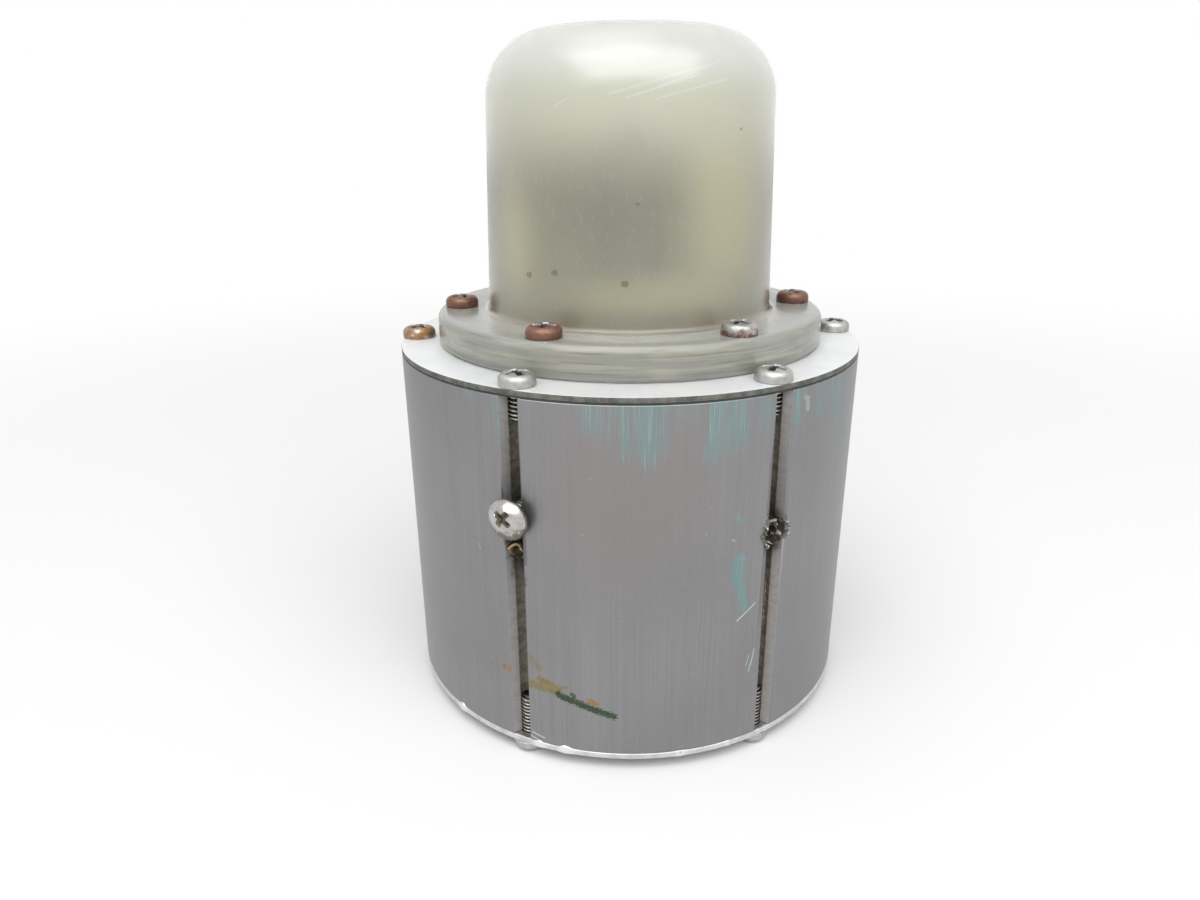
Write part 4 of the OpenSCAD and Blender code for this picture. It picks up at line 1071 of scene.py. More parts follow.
class BEACON_OT_base(bpy.types.Operator):
    """Base plate: drilled flat sectors inside a rim whose profile is carried round and swells at its burrs"""

    bl_idname = "beacon.base"
    bl_label = "Base plate"

    def execute(self, context):
        s = sizes()
        low, high = foot("base_plate"), top("base_plate")
        hole, flat_edge, arcs = 6.0 * MM, s.case_radius - 0.6 * MM, 60
        count = arcs * CHANNELS
        a = np.radians(-SIXTH / 2) + full_turn(count)
        soft = 0.3 * MM
        rim = chain((flat_edge, high), arc((s.case_radius - soft, high - soft), soft, 90, 0, 5),
                    arc((s.case_radius - soft, low + soft), soft, 0, -90, 5), (flat_edge, low))
        curl = bumps(a, RIM_BURRS)[:, None]
        rough = (0.06 * ripple(a, 24, 5) + 0.05 * ripple(a, 40, 6))[:, None]
        swell = np.array([0, 0.5, 0.8, 1, 1, 1, 1, 0.7, 0.4, 0.2, 0.1, 0])
        lift = np.array([0, 0.9, 1, 0.8, 0.5, 0.3, 0, -0.1, -0.1, 0, 0, 0])
        r = rim[:, 0] + (0.45 * curl + rough) * swell * MM
        z = rim[:, 1] + (0.9 * curl + 0.5 * rough) * lift * MM
        skin = Skin().grid(lathe(a, r, z), mark=np.clip(0.45 + curl, 0, 1))
        upper, angles = drilled_sector(hole, flat_edge, s.channel_radius, s.screw_hole, high, arcs=arcs)
        lower, _ = drilled_sector(hole, flat_edge, s.channel_radius, s.screw_hole, low, angles, arcs)
        add_sectors(skin, upper, lower)
        skin.grid(turned(revolve(chain((hole, low), (hole, high)), count), -SIXTH / 2))
        piece("base_plate_burred", skin, [edge_finish("base_alloy", colours().base_alloy)], "case",
              ["base_plate"])
        return {"FINISHED"}


# Profile of the sheared stub: radius, height, share of its jagged edge and share of its painted highlight.
STUB_PROFILE = (
    (0, 0, 0, 0), (1.55, 0, 0, 0), (1.7, 0.15, 0, 0), (1.7, 5.6, 0.3, 0.4), (1.62, 6.0, 1, 1), (1.25, 6.0, 0.9, 0.8),
    (0.95, 5.3, 0.4, 0.2), (0.45, 4.7, 0.1, 0), (0, 4.6, 0, 0),
)
# Section of a torn lip: distance from the empty hole's axis, height over the case and share of its tears.
LIP_SECTION = (
    (2.52, -1.2, 0), (2.56, -0.3, 0.3), (2.62, 0.0, 0.8), (2.72, 0.05, 1), (2.86, 0.06, 1), (3.02, 0.05, 0.9),
    (3.2, 0.0, 0.7), (3.36, -0.05, 0.4), (3.5, -0.2, 0),
)
# Section of the crumbs: height over the channel's bottom and share of their lumps.
CRUMB_SECTION = ((0.1, 0.3), (0.6, 1), (0.7, 1), (0.6, 1), (0.45, 1), (0.25, 0.7), (0, 0.2))


class BEACON_OT_wear(bpy.types.Operator):
    """Worn bits of the case: the sheared stub, the burrs beside the empty hole and the crumbs in a channel"""

    bl_idname = "beacon.wear"
    bl_label = "Stub, burrs and crumbs"

    def execute(self, context):
        s = sizes()
        outward = channel_place(SIDE_SCREW_TURN, 1, 0)
        a = full_turn(48)
        jag = 0.35 * ripple(a, 10, 3) + bumps(a, ((150, 28, 0.9), (40, 25, 0.5), (260, 30, -0.4)))
        inner_end = s.boss_radius + 0.02 * MM
        r, up, jagged, shine = np.transpose(STUB_PROFILE)
        cup = lathe(a, r, up + jag[:, None] * jagged) * MM
        # Painted highlight: bright brass on the stub's upper rim, dark below.
        lit = 0.6 + 0.6 * np.cos(a - math.radians(110))
        stub = Skin().grid(aimed(cup, outward * inner_end + (0, 0, STUB_Z), outward), mark=shine * lit[:, None])
        brass = edge_finish("old_brass", (0.050, 0.036, 0.020), (0.40, 0.29, 0.155), 0.45)
        piece("sheared_stub", stub, [brass], "case", ["screw_stub"])
        burr = Skin()

        def round_hole(rho, t, rise):
            """Points beside the empty hole: a distance from its axis, a turn round it and a height over the case."""
            u, v = rho * np.cos(t)[:, None], rho * np.sin(t)[:, None]
            turn = math.radians(EMPTY_HOLE_TURN) + u * MM / s.case_radius
            radius = s.case_radius + rise * MM
            return np.stack([radius * np.cos(turn), radius * np.sin(turn), EMPTY_HOLE_Z + v * MM], axis=-1)

        away, level, torn = np.transpose(LIP_SECTION)
        for middle, half, seed in ((6, 46, 11), (186, 58, 12)):
            t = np.radians(np.linspace(middle - half, middle + half, 34))
            lump = crumple((len(t), len(away)), seed)
            fade = np.sin(np.linspace(0, math.pi, len(t)))[:, None] ** 0.5
            rise = level + 0.85 * fade * np.clip(lump + 0.25, 0, 1) * torn
            lip = round_hole(away + 0.16 * lump * fade, t, rise)
            burr.grid(lip, False, mark=np.clip(1.5 * lump * fade - 0.25, 0, 1))
        t = full_turn(40)
        lump = crumple((len(t), 8), 14)
        depth = np.linspace(-0.35, -3.0, 8) + 0.5 * lump
        rho = np.linspace(2.58, 2.12, 8) - 0.3 * np.abs(lump)
        light = np.clip(lump + 0.55 * np.sin(t)[:, None] - 0.1, 0, 1)
        burr.grid(round_hole(rho, t, depth), mark=light, slot=2)
        heap, loose = np.transpose(CRUMB_SECTION)
        z = np.linspace(9.0, 41.0, 260)[:, None]
        thick = 0.1 + 0.9 * np.exp(-((z - 31.5) / 6.5) ** 4)
        lump = np.clip(np.random.default_rng(21).normal(0.35, 0.4, (len(z), len(heap))), 0, 1) * thick
        across, bottom = np.linspace(-1.06, -0.35, len(heap)), 45.75
        crumbs = np.stack(np.broadcast_arrays(bottom + heap + 0.65 * lump * loose, across, z), axis=-1) * MM
        burr.grid(turned(crumbs, EMPTY_HOLE_TURN), False, slot=1, mark=lump)
        finishes = [edge_finish("torn_alloy", (0.16, 0.15, 0.135), (0.58, 0.57, 0.55), 0.6),
                    edge_finish("channel_crumbs", (0.060, 0.046, 0.036), (0.44, 0.30, 0.20), 0.1),
                    edge_finish("hole_lining", (0.060, 0.050, 0.038), (0.52, 0.47, 0.41), 0.2)]
        piece("hole_burrs", burr, finishes, "case", (), 50)
        return {"FINISHED"}


class BEACON_OT_dome(bpy.types.Operator):
    """Dome and flange: profiles carried round the axis, with flat sectors round the six screw holes"""

    bl_idname = "beacon.dome"
    bl_label = "Dome"

    def execute(self, context):
        s = sizes()
        low, high = foot("dome_lens"), top("dome_lens")
        rim = reach("dome_lens")
        shelf = low + s.flange_thickness
        draft = math.tan(math.radians(1.7))

        def shell(radius, base, crown, corner):
            """Drafted side, rounded shoulder and flat crown, as (radius, height)."""
            shoulder = crown - corner
            r = radius - (shoulder - shelf) * draft
            side = np.linspace((radius - (base - shelf) * draft, base), (r, shoulder), 24)
            flat = np.linspace((r - corner, crown), (0, crown), 8)
            return chain(side, arc((r - corner, shoulder), corner, 0, 90, 18)[1:], flat[1:])

        count = 120
        fillet = arc((s.dome_radius + s.root_fillet, shelf + s.root_fillet), s.root_fillet, 270, 180, 7)
        outside = chain(fillet[:-1], shell(s.dome_radius, shelf + s.root_fillet, high, s.dome_corner))
        bore = s.dome_radius - s.dome_wall
        inside = chain((bore, low), shell(bore, shelf, high - s.dome_wall, s.dome_corner - s.dome_wall))
        soft = 0.25 * MM
        edge = chain(arc((rim - s.flange_edge, shelf - s.flange_edge), s.flange_edge, 90, 0, 9),
                     arc((rim - soft, low + soft), soft, 0, -90, 4))
        skin = Skin().grid(revolve(outside, count)).grid(revolve(inside, count)).grid(revolve(edge, count), slot=1)
        upper, angles = drilled_sector(s.dome_radius + s.root_fillet, rim - s.flange_edge, s.dome_screw_radius,
                                       s.screw_hole, shelf)
        lower, _ = drilled_sector(bore, rim - soft, s.dome_screw_radius, s.screw_hole, low, angles)
        add_sectors(skin, upper, lower, 1)
        piece("dome_and_flange", skin, [dome_finish(), flange_finish()], "dome", ["dome_lens"])
        return {"FINISHED"}


def pan_screw(skin, origin, direction, long, size, turn=0.0, mark=0.0, under=0.0, crown=0.1, low=0.0, recess=0.66,
              push=(0, 0, 0)):
    """Pan-head screw, by its shank's length and its size: the shank's and the head's radius, the head's height and the
    rounding of its edge.

    Head: a rounded edge that runs into a parabola, carried round, less a cross recess whose arms fall towards the
    middle, all pushed aside in proportion to its height. Its mark is even, with more of it near the seat and on the
    lower half, which makes rust on most screws and painted shade on the side screw, and falls below 0 in the
    recess, which gets painted shade there.
    Shank: a cylinder whose radius rises and falls along a helix of the thread's pitch, with a tapered end.
    """
    shank, head, tall, edge = size
    pitch, soft, sides = sizes().thread_pitch, 0.2 * MM, 32
    crown *= tall
    lean = math.atan2(head - edge, 2 * crown)
    rings = np.linspace(head - edge + edge * math.cos(lean), 0, 26)
    swell = np.stack([rings, tall - crown * (rings / rings[0]) ** 2], axis=1)
    rim = chain((shank * 0.9, 0), (head - soft, 0), arc((head - soft, soft), soft, -90, 0, 4)[1:],
                arc((head - edge, tall - crown - edge * math.sin(lean)), edge, 0, math.degrees(lean), 10), swell[1:])
    cap = revolve(rim, 72)
    spun = np.abs(turned(cap, -turn)[..., :2])
    far, near = spun.max(axis=-1), spun.min(axis=-1)
    arm, half = recess * head, 0.3 * recess * head
    sunk = np.clip((half - near) / (0.05 * head), 0, 1) * np.clip((arm - far) / (0.18 * head), 0, 1)
    upper = cap[..., 2] > tall - crown - 0.01 * MM
    cap[..., 2] -= np.where(upper, 0.62 * tall * sunk, 0)
    rust = np.where(upper & (sunk > 0.02), -3 * sunk, np.clip(mark + under * (1 - cap[..., 2] / tall), 0, 1))
    head_points = aimed(cap, origin, direction) + cap[..., 2:] / tall * np.array(push)
    rust = np.where(rust < 0, rust, rust + low * np.clip((origin[2] - head_points[..., 2]) / head, 0, 1))
    skin.grid(head_points, mark=rust)
    down = np.linspace(0, long, max(12, int(long / pitch * 10)))
    a = full_turn(sides)
    wave = np.mod(down / pitch - a[:, None] / TAU, 1.0)
    ridge = np.clip(1.7 * (1 - np.abs(2 * wave - 1)) - 0.35, 0, 1)
    taper = np.clip((long - down) / (0.5 * shank), 0, 1) * 0.22 + 0.78
    bolt = lathe(a, shank * (0.80 + 0.20 * ridge) * taper, -down)
    ends = [np.full((sides, 1, 3), (0, 0, z)) for z in (0.05 * MM, -long)]
    bolt = np.concatenate([ends[0], bolt, ends[1]], axis=1)
    skin.grid(aimed(bolt, origin, direction), mark=np.pad(ridge, ((0, 0), (1, 1)), mode="edge"), slot=1)


class BEACON_OT_screws(bpy.types.Operator):
    """Pan-head screws of the dome, the plates, the case's side, the socket, the board and the transistor"""

    bl_idname = "beacon.screws"
    bl_label = "Screws"

    def execute(self, context):
        s, c = sizes(), colours()
        rusty = screw_finish("rusty_steel", tint(c.zinc, 0.95), c.rust, (0.25, 0.135, 0.095))
        zinc = screw_finish("zinc_screw", c.zinc, (0.26, 0.15, 0.075), (0.40, 0.19, 0.065), 1.0, 0.46)
        thread = thread_finish()
        sixth = np.arange(CHANNELS) * SIXTH
        clean = (0.1, 0.15, 0.1, 0.2)
        case_size = s.screw_shank, s.screw_head, s.head_height, 1.25 * MM
        small_size = 1.4 * MM, 2.66 * MM, 1.82 * MM, 0.9 * MM
        side_size = 2.05 * MM, 4.0 * MM, 3.2 * MM, 0.9 * MM
        # Name, node, body, slot, finish, circle, angles, way up, size, turns of the recesses, marks, and more of the
        # mark near the seat.
        sets = (
            ("dome_screw_set", "dome_screws", "dome", "rusty_steel", rusty, s.dome_screw_radius, sixth, 1, case_size,
             (20, 65, 10, 38, 80, 45), (0.95, 0.8, 0.7, 0.95, 0.97, 0.22), 0.5),
            ("plate_screw_set", "plate_screws", "works", "zinc_steel", zinc, s.channel_radius, sixth, 1, case_size,
             (33, 12, 70, 52, 24, 60), (0.16, 0.2, 0.35, 0.62, 0.18, 0.14), 0.05),
            ("base_screw_set", "base_screws", "case", "zinc_steel", zinc, s.channel_radius, sixth, -1, case_size,
             (15, 40, 62, 5, 77, 30), (0.2, 0.25, 0.2, 0.3, 0.15, 0.25), 0.1),
            ("socket_screw_pair", "socket_screws", "works", "zinc_steel", zinc, 17.5 * MM, (0, 180), 1, small_size,
             (30, 72), clean, 0.05),
            ("board_screw_set", "board_screws", "works", "zinc_steel", zinc, 35.525 * MM, (30, 90, 210, 270), -1,
             small_size, (8, 50, 25, 66), clean, 0.05),
        )
        for name, node, body, slot, finish, radius, angles, way, size, turns, marks, under in sets:
            low, high, tall = foot(node), top(node), size[2]
            seat = high - tall if way > 0 else low + tall
            skin = Skin()
            for angle, turn, mark in zip(angles, turns, marks):
                at = channel_place(angle, radius, seat)
                pan_screw(skin, at, (0, 0, way), high - low - tall, size, turn, mark, under)
            piece(name, skin, [finish, thread], body, [node])
        low, high = (np.array(corner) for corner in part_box("transistor_screw"))
        at, tall = (low + high) / 2, small_size[2]
        at[1] = high[1] - tall
        skin = Skin()
        pan_screw(skin, at, (0, 1, 0), at[1] - low[1], small_size, 35, 0.1, 0.05)
        piece("transistor_screw_small", skin, [zinc, thread], "works", ["transistor_screw"])
        # On the side screw the rust mask lays dark greys near the seat and on the lower half of the head, as painted
        # shade.
        bright = screw_finish("bright_steel", c.bright_steel, (0.15, 0.132, 0.115), (0.22, 0.195, 0.17), 0.9, 0.24,
                              (0.40, 0.34, 0.27))
        skin = Skin()
        outward, proud = channel_place(SIDE_SCREW_TURN, 1, 0), 1.3 * MM
        pan_screw(skin, outward * (s.case_radius + proud) + (0, 0, SIDE_SCREW_Z), outward, 9.5 * MM, side_size, turn=52,
                  mark=0.1, under=0.55, crown=0.66, low=0.7, recess=0.44, push=(0.5 * MM, -0.3 * MM, 1.5 * MM))
        piece("side_screw_worn", skin, [bright, thread], "side_screw", ["side_screw"])
        return {"FINISHED"}


class BEACON_OT_lamp(bpy.types.Operator):
    """Flash tube: a round tube and its bore carried along a U, capped electrodes and a trigger wire wound round it"""

    bl_idname = "beacon.lamp"
    bl_label = "Flash tube"

    def execute(self, context):
        s = sizes()
        low, high = foot("flash_tube"), top("flash_tube")
        bend = high - s.glass_radius - s.leg_reach
        leg = np.linspace((-s.leg_reach, low), (-s.leg_reach, bend), 14)[:-1]
        flat = chain(leg, arc((0, bend), s.leg_reach, 180, 0, 33), leg[::-1] * (-1, 1))
        path = np.insert(flat, 1, 0.0, axis=1)
        walls = np.concatenate([swept(path, s.glass_radius, 32), swept(path, s.glass_bore, 32)[::-1]])
        piece("flash_tube_glass", Skin().grid(walls, True, True), [glass_finish()], "lamp",
              ["flash_tube"], 60)
        low, high = foot("tube_electrodes") / MM, top("tube_electrodes") / MM
        post = chain((0, low), (1.9, low), (1.9, low + 2.6), arc((1.5, low + 2.6), 0.4, 0, 90, 4), (0.55, low + 3.1),
                     (0.5, high - 4.2), (0.9, high - 4.0), arc((1.2, high - 3.7), 0.25, -90, 0, 4),
                     arc((1.2, high - 0.25), 0.25, 0, 90, 4), (0, high))
        skin = Skin()
        for side in (-1, 1):
            skin.grid(revolve(post * MM, 28) + (side * s.leg_reach, 0, 0))
        piece("electrode_pair", skin, ["dark_metal"], "lamp", ["tube_electrodes"])
        turn = np.linspace(0, 3.5 * TAU, 130)
        x = np.linspace(-1.5, 1.5, 130)
        loop = s.glass_radius / MM + 0.47
        bow = bend / MM + np.sqrt((s.leg_reach / MM) ** 2 - x ** 2)
        wound = np.stack([x, loop * np.cos(turn), bow + loop * np.sin(turn)], axis=1)
        rise = np.linspace((0, loop, foot("trigger_wire") / MM), (x[0], loop, wound[0, 2] - 1), 12)
        piece("trigger_wire_wound", Skin().wire(np.concatenate([rise, wound]) * MM, 0.36 * MM), ["tinned_wire"], "lamp",
              ["trigger_wire"], 70)
        return {"FINISHED"}


class BEACON_OT_grommet(bpy.types.Operator):
    """Cable grommet: a section with two rounded lips and a waist, carried round the axis"""

    bl_idname = "beacon.grommet"
    bl_label = "Cable grommet"

    def execute(self, context):
        low, high = foot("cable_grommet") / MM, top("cable_grommet") / MM
        wide, waist, bore, soft = reach("cable_grommet") / MM, 5.9, 3.2, 0.6
        below, above = foot("base_plate") / MM - 0.05, top("base_plate") / MM + 0.05
        section = chain(arc((bore + soft, low + soft), soft, 180, 270, 6),
                        arc((wide - soft, low + soft), soft, -90, 60, 8),
                        (wide - 0.4, below), (waist, below), (waist, above), (wide - 0.9, above),
                        arc((wide - 1.0 - soft, high - soft), soft, 0, 90, 6),
                        arc((bore + soft, high - soft), soft, 90, 180, 6))
        piece("cable_grommet_moulded", Skin().grid(revolve(section * MM, 64), True, True), ["black_rubber"], "case",
              ["cable_grommet"])
        return {"FINISHED"}


class BEACON_OT_capacitors(bpy.types.Operator):
    """Storage capacitor, a rolled can in a shrunk sleeve carried round its axis, and the dipped trigger capacitor"""

    bl_idname = "beacon.capacitors"
    bl_label = "Capacitors"

    def execute(self, context):
        low, high = box_mm("storage_capacitor")
        r, z0, z1 = (high[0] - low[0]) / 2, low[2], high[2]
        middle = np.append((low + high)[:2] / 2, 0)
        sleeve = chain((r - 3.0, z0 + 0.7), (r - 2.6, z0 + 0.25), arc((r - 1.3, z0 + 1.3), 1.3, -115, 0, 9),
                       (r, z0 + 13), (r, z0 + 25.6), (r - 0.4, z0 + 26.2), (r - 0.85, z0 + 27), (r - 0.4, z0 + 27.8),
                       (r, z0 + 28.4), arc((r - 1.2, z1 - 1.2), 1.2, 0, 90, 6), (0, z1))
        angle = full_turn(96)
        pucker = 0.05 * ripple(angle, 12, 8)[:, None] * np.clip(1.5 - np.abs(sleeve[:, 1] - z0), 0, 1)
        can = lathe(angle, sleeve[:, 0], sleeve[:, 1] + pucker)
        stripe = (np.abs(angle - 1.6 * math.pi) < 0.3)[:, None] * (sleeve[:, 1] > z0 + 1.2)
        skin = Skin().grid((can + middle) * MM, mark=stripe)
        rings = np.linspace(r - 3.0, 0, 14)
        scored = np.min([np.where(np.cos(angle - k)[:, None] > 0, np.abs(np.sin(angle - k)[:, None] * rings), 9.0)
                         for k in (0.5, 0.5 + TAU / 3, 0.5 + 2 * TAU / 3)], axis=0)
        score = 0.3 * np.exp(-(scored / 0.45) ** 2) * np.clip((r - 4.0 - rings) / 1.5, 0, 1)
        skin.grid((lathe(angle, rings, z0 + 0.7 + score) + middle) * MM, slot=1)
        piece("storage_capacitor_can", skin, ["capacitor_sleeve", "clamp_alloy"], "works",
              ["storage_capacitor"])
        dipped = rounded_box(*box_mm("trigger_capacitor"), 2.2, 1.6)
        piece("trigger_capacitor_dipped", Skin().grid(dipped * MM), ["film_case"], "works",
              ["trigger_capacitor"], 60)
        return {"FINISHED"}


# Laps of the winding's tape: share of its height, how far it lies in, and its mark.
TAPE_LAPS = (
    (0.0, 0.35, 0), (0.02, 0.1, 0), (0.30, 0.0, 0), (0.32, 0.16, 1), (0.34, 0.12, 0), (0.64, 0.02, 0), (0.66, 0.18, 1),
    (0.68, 0.12, 0), (0.98, 0.04, 0), (1.0, 0.35, 0),
)


class BEACON_OT_coils(bpy.types.Operator):
    """Transformer winding, a taped section carried round a rounded rectangle, and the trigger coil, whose radius
    rises and falls with each turn of its wire"""

    bl_idname = "beacon.coils"
    bl_label = "Coils"

    def execute(self, context):
        low, high = box_mm("transformer_winding")
        half, middle = (high - low)[:2] / 2, np.append((low + high)[:2] / 2, 0)
        z0, tall = low[2], high[2] - low[2]
        inner = rounded_rectangle(half - 2.6, 0.4)
        laps = [raised(rounded_rectangle(half - d, 1.8), z0 + share * tall) for share, d, _ in TAPE_LAPS]
        rows = np.stack([raised(inner, z0), *laps, raised(inner, z0 + tall)], axis=1)
        mark = np.array([0, *(lap[2] for lap in TAPE_LAPS), 0])
        skin = Skin().grid((rows + middle) * MM, True, True, mark=mark)
        board = foot("circuit_board") / MM
        for side, x in ((-1, -3.0), (-1, 2.0), (1, -2.0), (1, 3.0)):
            y = side * (half[1] - 0.3)
            corners = (x, y - side, high[2] - 0.5), (x, y, high[2] + 1.2), (x * 1.3, y + 0.6 * side, board + 0.4)
            skin.wire((bent(corners, 0.6) + middle) * MM, 0.38 * MM, 8, 1)
        piece("transformer_winding_taped", skin, ["winding_tape", "coil_wax"], "works",
              ["transformer_winding"])
        low, high = box_mm("trigger_coil")
        middle = np.append((low + high)[:2] / 2, 0)
        cheek, soft, wire_pitch = 1.2, 0.3, 0.42
        r, z0, z1 = (high[0] - low[0]) / 2, low[2] + cheek, high[2]
        skin = Skin()
        for z in (z0, z1 - cheek):
            disc = chain((0, z), arc((r - soft, z + soft), soft, -90, 0, 4),
                         arc((r - soft, z + cheek - soft), soft, 0, 90, 4), (0, z + cheek))
            skin.grid((revolve(disc, 48) + middle) * MM, slot=1)
        down = np.linspace(z0 + cheek - 0.05, z1 - cheek + 0.05, 200)
        a = full_turn(40)
        full = r - cheek - 0.5 + 0.45 * np.sqrt(np.clip(1 - np.linspace(-1, 1, len(down)) ** 6, 0, 1))
        wave = np.abs(np.sin(math.pi * (down / wire_pitch - a[:, None] / TAU)))
        skin.grid((lathe(a, full + 0.07 * wave, down) + middle) * MM)
        rod = chain((0, low[2]), arc((1.6, low[2] + 0.4), 0.4, -90, 0, 4), (2.0, z0 + 0.2))
        skin.grid((revolve(rod, 32) + middle) * MM, slot=2)
        piece("trigger_coil_wound", skin, ["coil_wax", "bobbin_nylon", "core_ferrite"], "works",
              ["trigger_coil"])
        return {"FINISHED"}


# Places of the parts on the board and the spans of their wires, in millimetres.
DIODE_X, DIODE_Y, DIODE_SPAN = (-10.0, -5.8, -1.6), 24.03, 8.2
RESISTOR_X, RESISTOR_Y, RESISTOR_SPAN = (15.5, 12.7, 9.9), (-19.9, -23.8, -27.7), 13.2
LEG_X, LEG_Y = (8.46, 11.0, 13.54), 24.23


def axial(skin, middle, along, z, radius, mark, span, up_to):
    """Round component: a radius that changes along its axis, carried round, and two wires that bend to a height."""
    along = np.asarray(along, float)
    skin.grid(aimed(revolve(np.stack([radius, z], axis=1), 28), middle, along) * MM, mark=mark)
    for side in (-1, 1):
        out = middle + along * side * span / 2
        skin.wire(bent([middle + along * side * (z[-1] - 0.4), out, [*out[:2], up_to]], 0.9) * MM, 0.4 * MM, slot=1)


class BEACON_OT_axials(bpy.types.Operator):
    """Rectifier diodes and resistors lying under the board on their bent leads"""

    bl_idname = "beacon.axials"
    bl_label = "Diodes and resistors"

    def execute(self, context):
        board, poke = foot("circuit_board") / MM, top("circuit_board") / MM + 0.9
        z = np.linspace(-2.6, 2.6, 53)
        radius = 1.35 * np.sqrt(np.clip(1 - (np.clip(np.abs(z) - 2.2, 0, None) / 0.4) ** 2, 0, 1))
        skin = Skin()
        for x in DIODE_X:
            axial(skin, np.array([x, DIODE_Y, board - 1.75]), (0, 1, 0), z, radius, (np.abs(z - 1.45) < 0.42) * 1.0,
                  DIODE_SPAN, poke)
        piece("rectifier_diode_row", skin, ["transistor_epoxy", "tinned_wire"], "works",
              ["rectifier_diodes"])
        z = np.linspace(-4.5, 4.5, 91)
        bulb = 1.34 + 0.26 * np.exp(-((np.abs(z) - 3.4) / 0.8) ** 2)
        radius = bulb * np.sqrt(np.clip(1 - (np.clip(np.abs(z) - 3.9, 0, None) / 0.6) ** 2, 0, 1))
        skin = Skin()
        for x, y, order in zip(RESISTOR_X, RESISTOR_Y, ((1, 2, 3), (3, 3, 2), (1, 3, 1))):
            mark = sum((np.abs(z - at) < 0.34) * float(n) for at, n in zip((-3.3, -1.7, -0.3, 2.9), (*order, 4)))
            axial(skin, np.array([x, y, board - 2.0]), (1, 0, 0), z, radius, mark, RESISTOR_SPAN, poke)
        piece("resistor_row", skin, ["resistor_body", "tinned_wire"], "works", ["resistors"])
        return {"FINISHED"}


class BEACON_OT_transistor(bpy.types.Operator):
    """Power transistor: rounded boxes for its moulding and its tab, and three legs"""

    bl_idname = "beacon.transistor"
    bl_label = "Power transistor"

    def execute(self, context):
        low, high = box_mm("power_transistor")
        tab, lift, moulding = 1.3, 3.0, 9.0
        z1 = high[2] - lift
        block = rounded_box((low[0], low[1] + tab - 0.02, z1 - moulding), (high[0], high[1], z1), 0.5, 0.45)
        skin = Skin().grid(block * MM)
        skin.grid(rounded_box(low, (high[0], low[1] + tab, z1 - 0.1), 0.3, 0.2) * MM, slot=1)
        for x in LEG_X:
            path = np.array([(x, LEG_Y, z) for z in (z1 - 0.5, z1 + 1, high[2], top("circuit_board") / MM + 0.9)])
            skin.wire(path * MM, 0.42 * MM, 8, 1)
        piece("power_transistor_moulded", skin, ["transistor_epoxy", "tinned_wire"], "works",
              ["power_transistor"])
        return {"FINISHED"}


# Tracks on the board's upper face, by the points that each runs through, in millimetres.
TRACKS = (
    ((-23.5, 5.0), (-20.0, 12.0), (-20.2, 25.0)), ((-13.8, 25.0), (-10.0, 28.1), (-5.8, 28.1), (-1.6, 28.1)),
    ((-10.0, 19.9), (-5.8, 19.9), (-1.6, 19.9), (0.0, 14.0), (0.0, 6.5)),
    ((8.46, 24.2), (8.4, 12.0), (20.0, 1.5), (31.0, 3.0)), ((13.54, 24.2), (20.0, 19.0), (31.0, 7.0)),
    ((-23.5, -5.0), (-18.0, -14.0), (-20.5, -26.0)),
    ((-6.5, -26.0), (0.0, -23.5), (8.9, -19.9)), ((5.63, -3.25), (10.0, -8.0), (13.6, -18.6)),
    ((-5.63, -3.25), (-10.0, -10.0), (-6.5, -26.0)), ((22.1, -19.9), (28.0, -14.0), (32.5, -8.0)),
    ((11.0, 24.2), (4.0, 31.5), (-8.0, 33.0), (-20.2, 25.0)),
)
# Solder joints of the board's other parts, in millimetres.
OTHER_PADS = (
    (-23.5, 5), (-23.5, -5), (-20.5, -26), (-6.5, -26), (-20.2, 25), (-13.8, 25), (31, 3), (31, 7), (32.5, -8),
    (2.5, -8), (13.6, -18.6), (20.2, -18.6), (14.9, 2.2), (21.4, 2.2),
)


